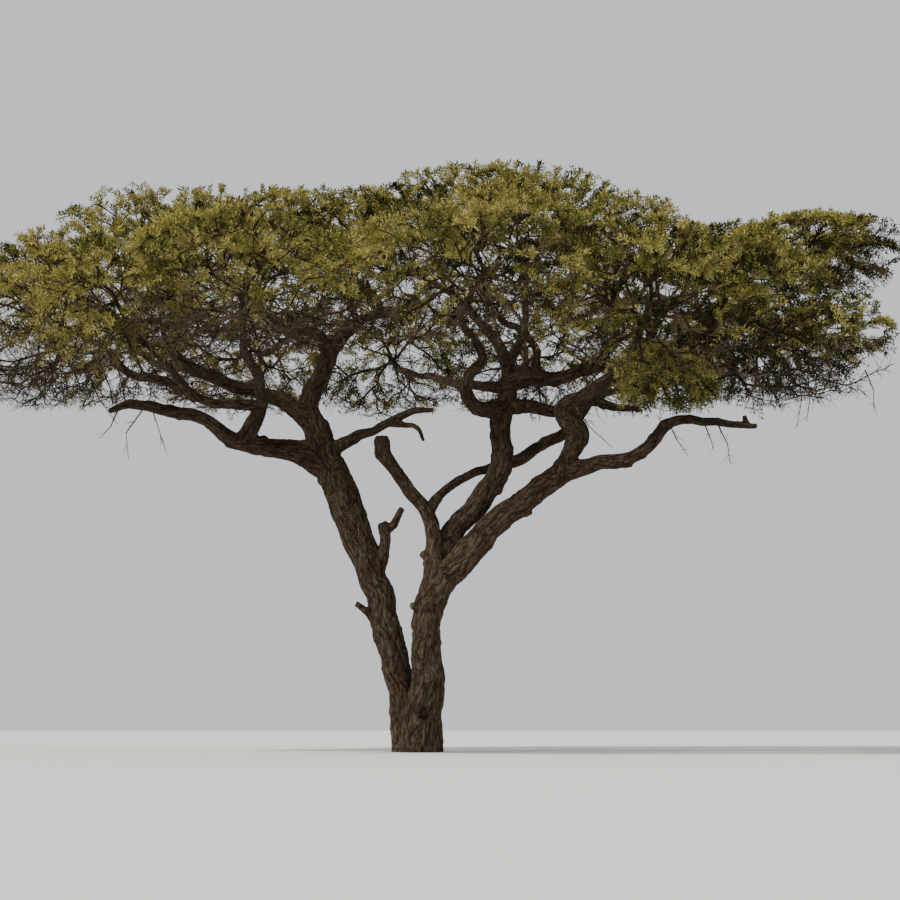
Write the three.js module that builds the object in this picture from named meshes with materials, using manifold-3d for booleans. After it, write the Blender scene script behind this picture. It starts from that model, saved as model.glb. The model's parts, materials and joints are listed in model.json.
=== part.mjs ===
// An umbrella thorn acacia: two stems from one root, crooked boughs that fork and spread,
// and a flat-topped crown made of separate masses of foliage on their own twigs.
// Millimetres, +Z up. The ground is z = 0, the origin is under the middle of the right stem,
// and the tree is looked at along +Y, with +X to the right.
import * as THREE from "three";
import { mergeVertices } from "three/addons/utils/BufferGeometryUtils.js";
import Module from "manifold-3d";

const wasm = await Module();
wasm.setup();

// Fit between pieces
const CLEARANCE = 0.3;
const END_SWELL = 0.8;
const FOLIAGE_TO_LIMB = 6;
const FOLIAGE_TO_WALL = 4;
const FLAT_WITHIN = 0.2;

// Facets of the limbs: thicker limbs take more sides
const SIDES = [
  { above: 150, sides: 9 },
  { above: 85, sides: 7 },
  { above: 0, sides: 5 },
];
const RINGS_PER_METRE = 1.9;
const NUB_SIDES = 5;
const NUB_TAPER = 0.8;

// Wood inside a mass: a stem to its heart, and twigs from there. A new twig leaves the wood
// that is nearest, where way already grown counts by its weight.
const STEM_SIDES = 5;
const STEM_TAPER = 0.62;
const HEART_SHARE = 0.55;
const TWIG_ROOT = 27;
const TWIG_TIP = 12;
const BARE_TWIG_TIP = 8;
const TWIG_FORKS = [0.4, 0.7, 1];
const GROWN_WAY_WEIGHT = 0.35;
const PLAN_AREA_PER_TWIG = 1.7e6;
const FEWEST_TWIGS = 4;
const USUAL_REACH = 1750;
const BARE_TWIGS_PER_LEAFY = 0.4;
const LEAFY_SPREAD = 0.72;
const LEAFY_TOP_LEVELS = [0.5, 0.62];
const LEAFY_LOW_SHARE = 0.7;
const BARE_SPREAD = 0.88;
const BARE_LEVELS = [-0.75];

// Leaf sprays
const SPRAY_LONGEST = 1400;
const SPRAY_SHORTEST = 600;
const SPRAY_STEP = 50;
const SPRAY_WIDTH_SHARE = 0.48;
const SPRAY_THICKNESS_SHARE = 0.04;
const SPRAY_ROOT_SUNK = 70;
const SPRAY_TILT = 0.75;
const SIDE_SPRAY_ANGLE = THREE.MathUtils.degToRad(52);
const SIDE_SPRAY_FROM = 0.6;
const SIDE_SPRAY_OVER = 0.25;

// Even spreading and the walls between masses
const GOLDEN_ANGLE = Math.PI * (3 - Math.sqrt(5));
const TURN_JITTER = 0.3;
const HEIGHT_WEIGHT = 1.7;

const BARK = { color: 0x4b3f35, roughness: 0.95, metalness: 0 };
const FOLIAGE = { color: 0x6d7133, roughness: 0.85, metalness: 0 };

// Each limb runs through its stations, [x, y, z, radius]. A limb that continues another starts
// at its end cut, and any other starts inside the limb that bears it and is cut clear of it.
const LIMBS = {
  stem_right: {
    stations: [
      [0, 0, 0, 300],
      [40, 0, 440, 286],
      [90, 0, 910, 258],
      [100, 0, 1580, 217],
      [110, 0, 2030, 210],
      [210, 0, 2370, 238],
      [340, -30, 2630, 250],
    ],
  },
  stem_left: {
    stations: [
      [-150, 400, 0, 250],
      [-240, 380, 770, 218],
      [-490, 360, 1820, 212],
      [-740, 360, 2660, 220],
      [-1000, 360, 3340, 250],
      [-1190, 360, 3880, 262],
      [-1460, 380, 4540, 225],
      [-1730, 400, 5230, 162],
      [-1530, 400, 5790, 139],
      [-1390, 400, 6140, 124],
    ],
  },
  limb_right: {
    continues: "stem_right",
    stations: [
      [610, -60, 2850, 225],
      [970, -120, 3250, 202],
      [1310, -180, 3540, 187],
      [2020, -300, 4060, 172],
      [2530, -400, 4240, 119],
      [3120, -500, 4350, 97],
      [3450, -550, 4580, 97],
      [3630, -600, 4830, 89],
      [3860, -650, 4900, 74],
      [4440, -750, 4790, 63],
      [4980, -800, 4770, 40],
    ],
  },
  limb_middle: {
    stations: [
      [270, 30, 2420, 165],
      [440, 50, 3220, 166],
      [900, 80, 3770, 174],
      [1160, 100, 4110, 174],
      [1250, 120, 4540, 167],
      [1230, 150, 5010, 153],
      [1300, 180, 5440, 138],
      [1340, 300, 5850, 105],
      [1160, 480, 6350, 82],
      [700, 760, 6880, 62],
    ],
  },
  limb_left: {
    stations: [
      [215, -30, 2430, 140],
      [190, -120, 2950, 122],
      [150, -150, 3410, 112],
      [-40, -180, 3760, 105],
      [-350, -200, 4150, 98],
      [-520, -200, 4400, 116],
      [-580, -200, 4630, 128],
      [-590, -200, 4710, 98],
    ],
  },
  limb_thin: {
    stations: [
      [110, -140, 3560, 80],
      [350, 100, 3890, 68],
      [750, 400, 4210, 69],
      [1060, 600, 4310, 72],
      [1450, 800, 4450, 98],
      [1930, 1000, 4760, 94],
      [2340, 1300, 5050, 87],
      [2660, 1700, 5500, 80],
      [3200, 2050, 6050, 62],
      [3600, 2150, 6450, 50],
    ],
  },
  bough_hook: {
    stations: [
      [1210, 100, 5150, 114],
      [910, -100, 5120, 106],
      [690, -250, 5290, 98],
      [750, -400, 5590, 90],
      [940, -550, 5780, 75],
      [860, -800, 5970, 62],
      [680, -1300, 6140, 54],
      [600, -2000, 6180, 47],
      [700, -3050, 6120, 40],
    ],
  },
  bough_bar: {
    stations: [
      [1270, 200, 5510, 84],
      [910, 500, 5590, 74],
      [590, 900, 5680, 68],
      [280, 1600, 5910, 60],
      [-120, 2600, 6150, 52],
      [-480, 3400, 6400, 44],
    ],
  },
  bough_upper: {
    stations: [
      [1330, 150, 5580, 118],
      [1660, 50, 5640, 120],
      [2150, 0, 5640, 107],
      [2470, -50, 5730, 91],
      [2750, -150, 5900, 76],
      [2960, -480, 6300, 54],
    ],
  },
  bough_riser: {
    stations: [
      [1710, 50, 5650, 76],
      [1750, -50, 5870, 68],
      [1730, -150, 6050, 61],
      [1530, -300, 6300, 55],
      [1240, -450, 6440, 52],
      [1080, -620, 6600, 45],
    ],
  },
  bough_cross: {
    stations: [
      [1270, 150, 5250, 107],
      [1620, 200, 5200, 99],
      [2050, 200, 5150, 92],
      [2430, 150, 5250, 84],
      [2670, 100, 5290, 76],
      [2970, 0, 5200, 66],
      [3340, -100, 5120, 42],
    ],
  },
  bough_s_bend: {
    stations: [
      [2100, -320, 4080, 130],
      [2180, -350, 4340, 100],
      [2300, -380, 4520, 148],
      [2370, -410, 4690, 170],
      [2240, -440, 4880, 155],
      [2130, -470, 5050, 130],
      [2190, -520, 5170, 114],
      [2380, -600, 5250, 104],
      [2710, -800, 5400, 96],
      [2930, -1200, 5570, 80],
      [3080, -2350, 5760, 56],
    ],
  },
  bough_side: {
    stations: [
      [2860, -1050, 5500, 60],
      [3060, -1230, 5330, 56],
      [3250, -1380, 5210, 50],
      [3420, -1500, 5170, 42],
    ],
  },
  bough_top_right: {
    stations: [
      [1330, 310, 5900, 78],
      [1560, 560, 6320, 66],
      [1640, 720, 6720, 56],
      [1620, 800, 7050, 48],
    ],
  },
  bough_rear_middle: {
    stations: [
      [1300, 350, 6000, 76],
      [1420, 1150, 6020, 68],
      [1560, 2300, 6120, 58],
      [1720, 3350, 6380, 46],
    ],
  },
  bough_right: {
    stations: [
      [2470, -50, 5730, 80],
      [2900, 80, 5830, 78],
      [3450, 20, 5950, 72],
      [3950, -150, 6090, 62],
      [4320, -350, 6250, 50],
    ],
  },
  bough_right_upper: {
    stations: [
      [3720, -60, 6020, 60],
      [4350, 200, 6560, 54],
      [4850, 480, 7150, 48],
      [5250, 680, 7620, 40],
    ],
  },
  bough_right_lower: {
    stations: [
      [4040, -190, 6120, 52],
      [4560, -330, 6010, 50],
      [5080, -400, 5960, 42],
    ],
  },
  bough_right_front: {
    stations: [
      [2710, -800, 5400, 74],
      [3180, -1250, 5560, 66],
      [3700, -1750, 5640, 58],
      [4080, -2080, 5720, 48],
    ],
  },
  bough_right_rear: {
    stations: [
      [3250, 50, 5910, 62],
      [3800, 700, 5930, 58],
      [4500, 1500, 6020, 52],
      [5000, 2050, 6180, 44],
    ],
  },
  bough_rear_right: {
    stations: [
      [2750, 1760, 5600, 68],
      [3050, 2450, 5820, 60],
      [3420, 3150, 6020, 52],
      [3750, 3650, 6250, 44],
    ],
  },
  bough_low_left: {
    stations: [
      [-1480, 370, 4340, 175],
      [-1850, 300, 4530, 161],
      [-2180, 220, 4600, 145],
      [-2520, 150, 4620, 150],
      [-2860, 50, 4710, 129],
      [-3170, 0, 4920, 99],
      [-3490, -100, 5060, 98],
      [-3790, -200, 5100, 96],
      [-4320, -400, 5150, 75],
      [-4650, -500, 5040, 42],
    ],
  },
  bough_low_riser: {
    stations: [
      [-2700, 100, 4660, 118],
      [-2510, 0, 4920, 114],
      [-2390, -200, 5200, 98],
      [-2400, -900, 5440, 81],
      [-2460, -2000, 5640, 62],
      [-2400, -2950, 5800, 46],
    ],
  },
  bough_mid_left: {
    stations: [
      [-1650, 400, 4980, 140],
      [-2090, 360, 5320, 123],
      [-2550, 300, 5460, 107],
      [-3240, 150, 5700, 99],
      [-3560, 100, 5830, 84],
      [-3820, 0, 6060, 69],
      [-3900, -200, 6330, 52],
    ],
  },
  bough_long_left: {
    stations: [
      [-2410, -180, 5170, 83],
      [-2720, -260, 5170, 75],
      [-3310, -350, 5230, 70],
      [-3850, -500, 5510, 67],
      [-4340, -600, 5600, 62],
      [-4710, -680, 5930, 54],
      [-5060, -600, 6150, 45],
    ],
  },
  bough_left_front: {
    stations: [
      [-3380, -370, 5260, 62],
      [-3560, -1100, 5420, 60],
      [-3750, -1750, 5620, 54],
      [-4020, -2300, 5870, 46],
    ],
  },
  bough_left_rear: {
    stations: [
      [-3240, 150, 5700, 78],
      [-3800, 750, 5920, 66],
      [-4350, 1350, 6180, 56],
      [-4700, 1750, 6500, 46],
    ],
  },
  bough_knee: {
    stations: [
      [-1460, 370, 4530, 98],
      [-990, 200, 4750, 84],
      [-670, 100, 4860, 68],
      [-280, 0, 5040, 61],
      [-40, -50, 5110, 53],
      [190, -100, 5120, 36],
    ],
  },
  bough_knee_hook: {
    stations: [
      [-470, 50, 4940, 46],
      [-250, 0, 4890, 46],
      [-50, -50, 4820, 38],
      [50, -50, 4650, 28],
    ],
  },
  fork_left: {
    stations: [
      [-1400, 400, 6080, 92],
      [-1600, 500, 6380, 93],
      [-1900, 700, 6560, 80],
      [-2250, 1000, 6700, 68],
      [-2550, 1350, 6950, 54],
    ],
  },
  fork_right: {
    continues: "stem_left",
    stations: [
      [-1160, 300, 6390, 100],
      [-840, 100, 6580, 80],
      [-600, -200, 6640, 64],
      [-680, -620, 6760, 50],
    ],
  },
  bough_rear_left: {
    stations: [
      [-1900, 700, 6560, 68],
      [-2150, 1600, 6560, 60],
      [-2450, 2500, 6560, 54],
      [-2800, 3350, 6600, 46],
    ],
  },
  stub_broken: {
    stations: [
      [-690, 350, 2620, 95],
      [-580, 300, 2950, 86],
      [-540, 270, 3150, 82],
      [-560, 250, 3380, 96],
      [-590, 250, 3450, 66],
    ],
  },
};

// Snapped twig bases and burrs: the limb that bears it, its root, its end and its radius
const NUBS = [
  { on: "stem_left", from: [-760, 320, 2060], to: [-980, 300, 2220], radius: 50 },
  { on: "stem_right", from: [100, -40, 2080], to: [-150, -80, 2160], radius: 36 },
  { on: "limb_left", from: [200, -100, 2780], to: [10, -100, 2940], radius: 40 },
  { on: "limb_right", from: [1560, -220, 3720], to: [1640, -240, 3500], radius: 56 },
  { on: "limb_right", from: [2860, -480, 4250], to: [3150, -520, 4265], radius: 72 },
  { on: "limb_right", from: [4840, -790, 4790], to: [4790, -780, 4930], radius: 30 },
  { on: "stub_broken", from: [-560, 260, 3260], to: [-400, 240, 3420], radius: 58 },
  { on: "stub_broken", from: [-420, 240, 3380], to: [-280, 240, 3670], radius: 52 },
  { on: "bough_cross", from: [2670, 100, 5290], to: [2800, 60, 5170], radius: 40 },
];

// Each mass of foliage: the limb that carries it, the middle of its space, its reach along X,
// along Y, up and down, and the share of its depth below the middle above which it has leaves
const MASSES = {
  far_left: ["bough_long_left", [-6050, -450, 6600], [1500, 1800, 1000, 1500], -0.7],
  left: ["bough_mid_left", [-3950, -500, 7200], [1850, 1750, 1300, 1600], -0.5],
  mid_left: ["fork_right", [-1650, -1350, 7200], [1850, 1850, 950, 1400], -0.72],
  centre: ["bough_riser", [800, -1350, 7550], [1900, 1800, 970, 1500], -0.45],
  centre_right: ["bough_upper", [2800, -1150, 7150], [1650, 1700, 1020, 1500], -0.65],
  right: ["bough_right", [4750, -750, 6950], [1500, 1800, 850, 1700], -0.7],
  far_right_upper: ["bough_right_upper", [6150, 800, 7900], [1420, 1500, 450, 750], -0.92],
  far_right_lower: ["bough_right_lower", [5950, -350, 6150], [1220, 1550, 780, 980], -0.7],
  front_left: ["bough_left_front", [-4300, -3100, 6420], [1550, 1650, 850, 1200], -0.78],
  front_mid_left: ["bough_low_riser", [-2300, -4150, 6300], [1750, 1600, 900, 1100], -0.65],
  front_centre: ["bough_hook", [850, -4350, 6400], [1850, 1600, 980, 1200], -0.68],
  front_right: ["bough_s_bend", [3200, -3650, 6250], [1650, 1650, 950, 1300], -0.85],
  front_far_right: ["bough_right_front", [4800, -2750, 6020], [1300, 1500, 850, 1070], -0.85],
  low_lobe: ["bough_side", [3520, -1850, 5330], [800, 750, 480, 500], -0.95],
  rear_far_left: ["bough_left_rear", [-5250, 2350, 7300], [1750, 1750, 1100, 1800], -0.85],
  back_left: ["fork_left", [-3000, 1900, 7850], [1850, 1800, 1320, 1600], -0.5],
  top_left: ["limb_middle", [-550, 1200, 7900], [1900, 1850, 1020, 1500], -0.5],
  top_right: ["bough_top_right", [1650, 1100, 8180], [1900, 1850, 1080, 1580], -0.5],
  back_right: ["limb_thin", [4050, 2000, 7600], [1800, 1700, 950, 1600], -0.6],
  rear_left: ["bough_rear_left", [-3250, 4350, 7100], [1800, 1550, 1100, 1320], -0.85],
  rear_mid_left: ["bough_bar", [-750, 4600, 7200], [1800, 1550, 1150, 1420], -0.85],
  rear_mid_right: ["bough_rear_middle", [1800, 4600, 7200], [1800, 1550, 1150, 1420], -0.85],
  rear_right: ["bough_rear_right", [4150, 4200, 6950], [1700, 1500, 1000, 1150], -0.8],
  rear_far_right: ["bough_right_rear", [5750, 2500, 6650], [1500, 1600, 800, 1100], -0.7],
};

const UP = new THREE.Vector3(0, 0, 1);
const Y_AXIS = new THREE.Vector3(0, 1, 0);
const vector = (xyz) => new THREE.Vector3(xyz[0], xyz[1], xyz[2]);

// A seeded stream of numbers from 0 to 1
function seeded(seed) {
  let state = seed >>> 0;
  return () => {
    state = (state + 0x6d2b79f5) >>> 0;
    let mixed = Math.imul(state ^ (state >>> 15), state | 1);
    mixed ^= mixed + Math.imul(mixed ^ (mixed >>> 7), mixed | 61);
    return ((mixed ^ (mixed >>> 14)) >>> 0) / 4294967296;
  };
}

// Solids and geometries
function solidFrom(geometry) {
  const bare = geometry.clone();
  bare.deleteAttribute("normal");
  bare.deleteAttribute("uv");
  const merged = mergeVertices(bare, 1e-3);
  return new wasm.Manifold(
    new wasm.Mesh({
      numProp: 3,
      vertProperties: new Float32Array(merged.attributes.position.array),
      triVerts: new Uint32Array(merged.index.array),
    }),
  );
}

function geometryFrom(solid) {
  const mesh = solid.getMesh();
  const geometry = new THREE.BufferGeometry();
  geometry.setAttribute("position", new THREE.BufferAttribute(mesh.vertProperties, 3));
  geometry.setIndex(new THREE.BufferAttribute(mesh.triVerts, 1));
  geometry.computeVertexNormals();
  return geometry;
}

// The main body of a solid, without loose scraps and with sealed hollows filled
function mainBody(solid) {
  const bodies = solid.decompose();
  return bodies.reduce((best, body) => (body.volume() > best.volume() ? body : best));
}

function boxesMeet(a, b) {
  const boxA = a.boundingBox();
  const boxB = b.boundingBox();
  return [0, 1, 2].every((i) => boxA.min[i] <= boxB.max[i] && boxB.min[i] <= boxA.max[i]);
}

// Rings along a limb: a point, a direction and a radius for each
function ringsAlong(stations, start) {
  const through = start ? [start.point.toArray().concat(start.radius), ...stations] : stations;
  const curve = new THREE.CatmullRomCurve3(through.map(vector), false, "centripetal");
  const rings = [];
  const spans = through.length - 1;
  for (let span = 0; span < spans; span++) {
    const length = vector(through[span]).distanceTo(vector(through[span + 1])) / 1000;
    const steps = Math.max(1, Math.round(length * RINGS_PER_METRE));
    for (let step = span ? 1 : 0; step <= steps; step++) {
      const share = step / steps;
      const at = (span + share) / spans;
      rings.push({
        point: curve.getPoint(at),
        direction: curve.getTangent(at),
        radius: THREE.MathUtils.lerp(through[span][3], through[span + 1][3], share),
      });
    }
  }
  if (start) rings[0].direction = start.direction.clone();
  return rings;
}

// A closed tube through rings: a cylinder whose rows are moved onto the rings. A swollen copy is
// also longer at both ends, by less than the gap that a continuing limb leaves.
function tubeSolid(rings, sides, swell = 0) {
  const geometry = new THREE.CylinderGeometry(1, 1, 1, sides, rings.length - 1);
  const across = [];
  let side = new THREE.Vector3(1, 0, 0);
  for (const { direction } of rings) {
    side = side.clone().addScaledVector(direction, -side.dot(direction)).normalize();
    across.push({ side, depth: new THREE.Vector3().crossVectors(side, direction) });
  }
  const position = geometry.attributes.position;
  const moved = new THREE.Vector3();
  for (let i = 0; i < position.count; i++) {
    const row = Math.round((position.getY(i) + 0.5) * (rings.length - 1));
    const radius = rings[row].radius + swell / Math.cos(Math.PI / sides);
    const beyond = row === 0 ? -1 : Number(row === rings.length - 1);
    moved.copy(rings[row].point);
    moved.addScaledVector(rings[row].direction, beyond * Math.min(swell, CLEARANCE) * END_SWELL);
    moved.addScaledVector(across[row].side, position.getX(i) * radius);
    moved.addScaledVector(across[row].depth, position.getZ(i) * radius);
    position.setXYZ(i, moved.x, moved.y, moved.z);
  }
  return solidFrom(geometry);
}

const sidesFor = (rings) => SIDES.find(({ above }) => rings[0].radius > above).sides;

// A cut across the foot of a limb on the ground, where the tube's first ring is level
function levelFoot(rings) {
  if (rings[0].point.z === 0) rings[0].direction = UP.clone();
  return rings;
}

function endOf(limb, gap = CLEARANCE) {
  const last = limb.rings[limb.rings.length - 1];
  return {
    point: last.point.clone().addScaledVector(last.direction, gap),
    direction: last.direction,
    radius: last.radius,
  };
}

function nubSolid({ from, to, radius }, swell = 0) {
  const rings = ringsAlong([
    [...from, radius],
    [...to, radius * NUB_TAPER],
  ]);
  return tubeSolid([rings[0], rings[rings.length - 1]], NUB_SIDES, swell);
}

// All limbs, each cut clear of those before it
function makeLimbs() {
  const limbs = {};
  for (const [name, { stations, continues }] of Object.entries(LIMBS)) {
    const start = continues && endOf(limbs[continues]);
    const rings = levelFoot(ringsAlong(stations, start));
    const sides = sidesFor(rings);
    let solid = tubeSolid(rings, sides);
    let cutter = tubeSolid(rings, sides, CLEARANCE);
    let guard = tubeSolid(rings, sides, FOLIAGE_TO_LIMB);
    for (const nub of NUBS.filter(({ on }) => on === name)) {
      solid = solid.add(nubSolid(nub));
      cutter = cutter.add(nubSolid(nub, CLEARANCE));
      guard = guard.add(nubSolid(nub, FOLIAGE_TO_LIMB));
    }
    for (const earlier of Object.values(limbs)) {
      if (boxesMeet(solid, earlier.cutter)) solid = solid.subtract(earlier.cutter);
    }
    limbs[name] = { rings, solid: mainBody(solid), cutter, guard };
  }
  return limbs;
}

// The space of a mass: a dome over a flatter base, cut by a plane between it and each neighbour
function makeSpace(name) {
  const weight = new THREE.Vector3(1, 1, HEIGHT_WEIGHT ** 2);
  const spaceOf = (key) => {
    const middle = vector(MASSES[key][1]);
    const [x, y, up, down] = MASSES[key][2];
    const mean = (x + y + ((up + down) / 2) * HEIGHT_WEIGHT) / 3;
    const power = middle.clone().multiply(middle).dot(weight) - mean ** 2;
    return { middle, reach: new THREE.Vector3(x, y, up), down, power };
  };
  const own = spaceOf(name);
  const walls = Object.keys(MASSES)
    .filter((key) => key !== name)
    .map((key) => {
      const other = spaceOf(key);
      const normal = other.middle.clone().sub(own.middle).multiply(weight).multiplyScalar(2);
      const size = normal.length();
      return new THREE.Plane(normal.divideScalar(size), (own.power - other.power) / size);
    });
  const holds = (point) => {
    const { x, y, z } = point.clone().sub(own.middle).divide(own.reach);
    const out = x ** 2 + y ** 2;
    const within = z > 0 ? out + z ** 2 : out ** 2 + ((z * own.reach.z) / own.down) ** 2;
    return within <= 1 && walls.every((wall) => wall.distanceToPoint(point) < -FOLIAGE_TO_WALL);
  };
  return { ...own, holds };
}

const cornersOf = (geometry) => {
  const position = geometry.attributes.position;
  return Array.from({ length: position.count }, (_, i) =>
    new THREE.Vector3().fromBufferAttribute(position, i),
  );
};

function twigGeometry(from, to, rootRadius, tipRadius) {
  const along = to.clone().sub(from);
  const geometry = new THREE.CylinderGeometry(tipRadius, rootRadius, along.length(), 3, 1);
  geometry.applyQuaternion(
    new THREE.Quaternion().setFromUnitVectors(Y_AXIS, along.clone().normalize()),
  );
  const middle = from.clone().lerp(to, 0.5);
  return geometry.translate(middle.x, middle.y, middle.z);
}

// A leaf spray: a flat eight-sided blade from its root along a direction
function sprayGeometry(root, along, face, length) {
  const across = new THREE.Vector3().crossVectors(face, along).normalize();
  const normal = new THREE.Vector3().crossVectors(along, across);
  const shape = new THREE.Matrix4().makeBasis(
    along.clone().multiplyScalar(length / 2),
    across.multiplyScalar((length * SPRAY_WIDTH_SHARE) / 2),
    normal.multiplyScalar((length * SPRAY_THICKNESS_SHARE) / 2),
  );
  shape.setPosition(root.clone().addScaledVector(along, length / 2));
  return new THREE.OctahedronGeometry(1).applyMatrix4(shape);
}

// Twig ends spread evenly over the plan of the space, drawn in until the space holds them.
// The outermost end lies on the side away from the tree's middle.
function twigEnds(space, count, spread, levels, random) {
  const ends = [];
  const away = Math.atan2(space.middle.y, space.middle.x);
  const flatter = space.down / space.reach.z;
  for (let i = 0; i < count; i++) {
    const out = Math.sqrt((i + 0.5) / count) * spread;
    const turn = away + (count - 1 - i) * GOLDEN_ANGLE + (random() - 0.5) * TURN_JITTER;
    const level = levels[i % levels.length];
    const rise = level > 0 ? Math.sqrt(1 - out ** 2) : Math.sqrt(1 - out ** 4) * flatter;
    const offset = new THREE.Vector3(out * Math.cos(turn), out * Math.sin(turn), level * rise);
    const end = space.middle.clone().add(offset.multiply(space.reach));
    for (let tries = 0; tries < 6 && !space.holds(end); tries++) end.lerp(space.middle, 0.15);
    if (space.holds(end)) ends.push(end);
  }
  return ends;
}

// One mass: a stem from its limb's tip, twigs that each leave the nearest wood already grown,
// and sprays of leaves at the end and on both sides of every leafy twig
function makeMass(name, number, limbs, guards) {
  const [carrier, , , leafyFrom] = MASSES[name];
  const random = seeded(1000 + number * 77);
  const space = makeSpace(name);
  const foot = endOf(limbs[carrier]);
  const heart = foot.point.clone().lerp(space.middle, HEART_SHARE);
  const bend = foot.point.clone().addScaledVector(foot.direction, foot.point.distanceTo(heart) / 3);
  const bendRadius = (foot.radius * (2 + STEM_TAPER)) / 3;
  const heartRadius = foot.radius * STEM_TAPER;
  const stemStations = [
    [...bend.toArray(), bendRadius],
    [...heart.toArray(), heartRadius],
  ];
  const grown = [tubeSolid(ringsAlong(stemStations, foot), STEM_SIDES)];
  const wood = [
    { point: bend, path: 0, radius: bendRadius },
    { point: heart, path: 0, radius: heartRadius },
  ];

  const grow = (geometry) => {
    if (!cornersOf(geometry).every(space.holds)) return false;
    const piece = solidFrom(geometry);
    const touches = (guard) => boxesMeet(piece, guard) && !piece.intersect(guard).isEmpty();
    if (guards.some(touches)) return false;
    grown.push(piece);
    return true;
  };

  const addTwig = (end, tipRadius) => {
    const cost = ({ point, path }) => point.distanceTo(end) + GROWN_WAY_WEIGHT * path;
    const start = wood.reduce((best, next) => (cost(next) < cost(best) ? next : best));
    const rootRadius = Math.min(TWIG_ROOT, start.radius);
    if (!grow(twigGeometry(start.point, end, rootRadius, tipRadius))) return null;
    for (const share of TWIG_FORKS) {
      const point = start.point.clone().lerp(end, share);
      const path = start.path + start.point.distanceTo(point);
      wood.push({ point, path, radius: THREE.MathUtils.lerp(rootRadius, tipRadius, share) });
    }
    return { start: start.point, end };
  };

  const addSpray = (root, along) => {
    const face = new THREE.Vector3(random() - 0.5, random() - 0.5, SPRAY_TILT).normalize();
    const scale = Math.min(1, space.reach.x / USUAL_REACH);
    let length = SPRAY_LONGEST * scale;
    while (length > SPRAY_SHORTEST * scale && !grow(sprayGeometry(root, along, face, length))) {
      length -= SPRAY_STEP * scale;
    }
  };

  const area = space.reach.x * space.reach.y * Math.PI;
  const leafyCount = Math.max(FEWEST_TWIGS, Math.round(area / PLAN_AREA_PER_TWIG));
  const bareCount = Math.round(leafyCount * BARE_TWIGS_PER_LEAFY);
  const [upper, top] = LEAFY_TOP_LEVELS;
  const levels = [upper, leafyFrom * LEAFY_LOW_SHARE, top];
  const leafy = twigEnds(space, leafyCount, LEAFY_SPREAD, levels, random);
  const bare = twigEnds(space, bareCount, BARE_SPREAD, BARE_LEVELS, random);
  const nearestFirst = (a, b) => a.distanceTo(heart) - b.distanceTo(heart);

  for (const end of leafy.sort(nearestFirst)) {
    const twig = addTwig(end, TWIG_TIP);
    if (!twig) continue;
    const along = end.clone().sub(twig.start).normalize();
    const outward = end.clone().sub(space.middle).divide(space.reach).normalize();
    const heading = along.clone().add(outward).normalize();
    const tip = end.clone().addScaledVector(along, -SPRAY_ROOT_SUNK);
    addSpray(tip, heading);
    const level = new THREE.Vector3(along.x, along.y, along.z * 0.5).normalize();
    for (const turn of [SIDE_SPRAY_ANGLE, -SIDE_SPRAY_ANGLE]) {
      const share = SIDE_SPRAY_FROM + SIDE_SPRAY_OVER * random();
      const root = twig.start.clone().lerp(end, share);
      addSpray(root, level.clone().applyAxisAngle(UP, turn));
    }
  }
  for (const end of bare.sort(nearestFirst)) addTwig(end, BARE_TWIG_TIP);
  return mainBody(wasm.Manifold.union(grown)).simplify(FLAT_WITHIN);
}

function meshOf(name, solid, look) {
  const mesh = new THREE.Mesh(geometryFrom(solid), new THREE.MeshStandardMaterial(look));
  mesh.name = name;
  return mesh;
}

const tree = new THREE.Group();
const limbs = makeLimbs();
for (const [name, { solid }] of Object.entries(limbs)) tree.add(meshOf(name, solid, BARK));

const guards = Object.values(limbs).map(({ guard }) => guard);
Object.keys(MASSES).forEach((name, number) => {
  tree.add(meshOf("foliage_" + name, makeMass(name, number, limbs, guards), FOLIAGE));
});

export default tree;
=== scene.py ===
import itertools
import json
import math

import bmesh
import bpy
import numpy as np
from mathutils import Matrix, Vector

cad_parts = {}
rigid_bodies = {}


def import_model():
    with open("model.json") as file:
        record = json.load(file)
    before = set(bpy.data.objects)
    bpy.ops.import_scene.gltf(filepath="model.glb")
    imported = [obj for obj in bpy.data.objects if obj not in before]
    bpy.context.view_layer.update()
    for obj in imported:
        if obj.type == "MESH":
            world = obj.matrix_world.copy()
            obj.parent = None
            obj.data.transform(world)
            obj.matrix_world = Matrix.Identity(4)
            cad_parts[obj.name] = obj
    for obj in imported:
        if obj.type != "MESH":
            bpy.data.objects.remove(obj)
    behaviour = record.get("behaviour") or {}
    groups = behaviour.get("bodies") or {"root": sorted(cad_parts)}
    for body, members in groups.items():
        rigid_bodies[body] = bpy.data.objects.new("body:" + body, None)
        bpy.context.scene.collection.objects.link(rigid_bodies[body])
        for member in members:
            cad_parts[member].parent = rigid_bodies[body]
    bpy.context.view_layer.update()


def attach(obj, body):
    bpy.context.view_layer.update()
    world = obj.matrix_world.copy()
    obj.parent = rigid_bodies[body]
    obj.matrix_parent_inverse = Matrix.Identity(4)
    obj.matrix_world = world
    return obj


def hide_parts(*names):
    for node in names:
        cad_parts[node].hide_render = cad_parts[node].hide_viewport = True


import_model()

# An umbrella thorn acacia in the model's own frame: bark with relief over the stems, limbs and
# boughs, and for each mass of foliage its twigs, shoots and leaves. Sizes are in metres, but
# those of the limbs' stations are in millimetres.

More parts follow.
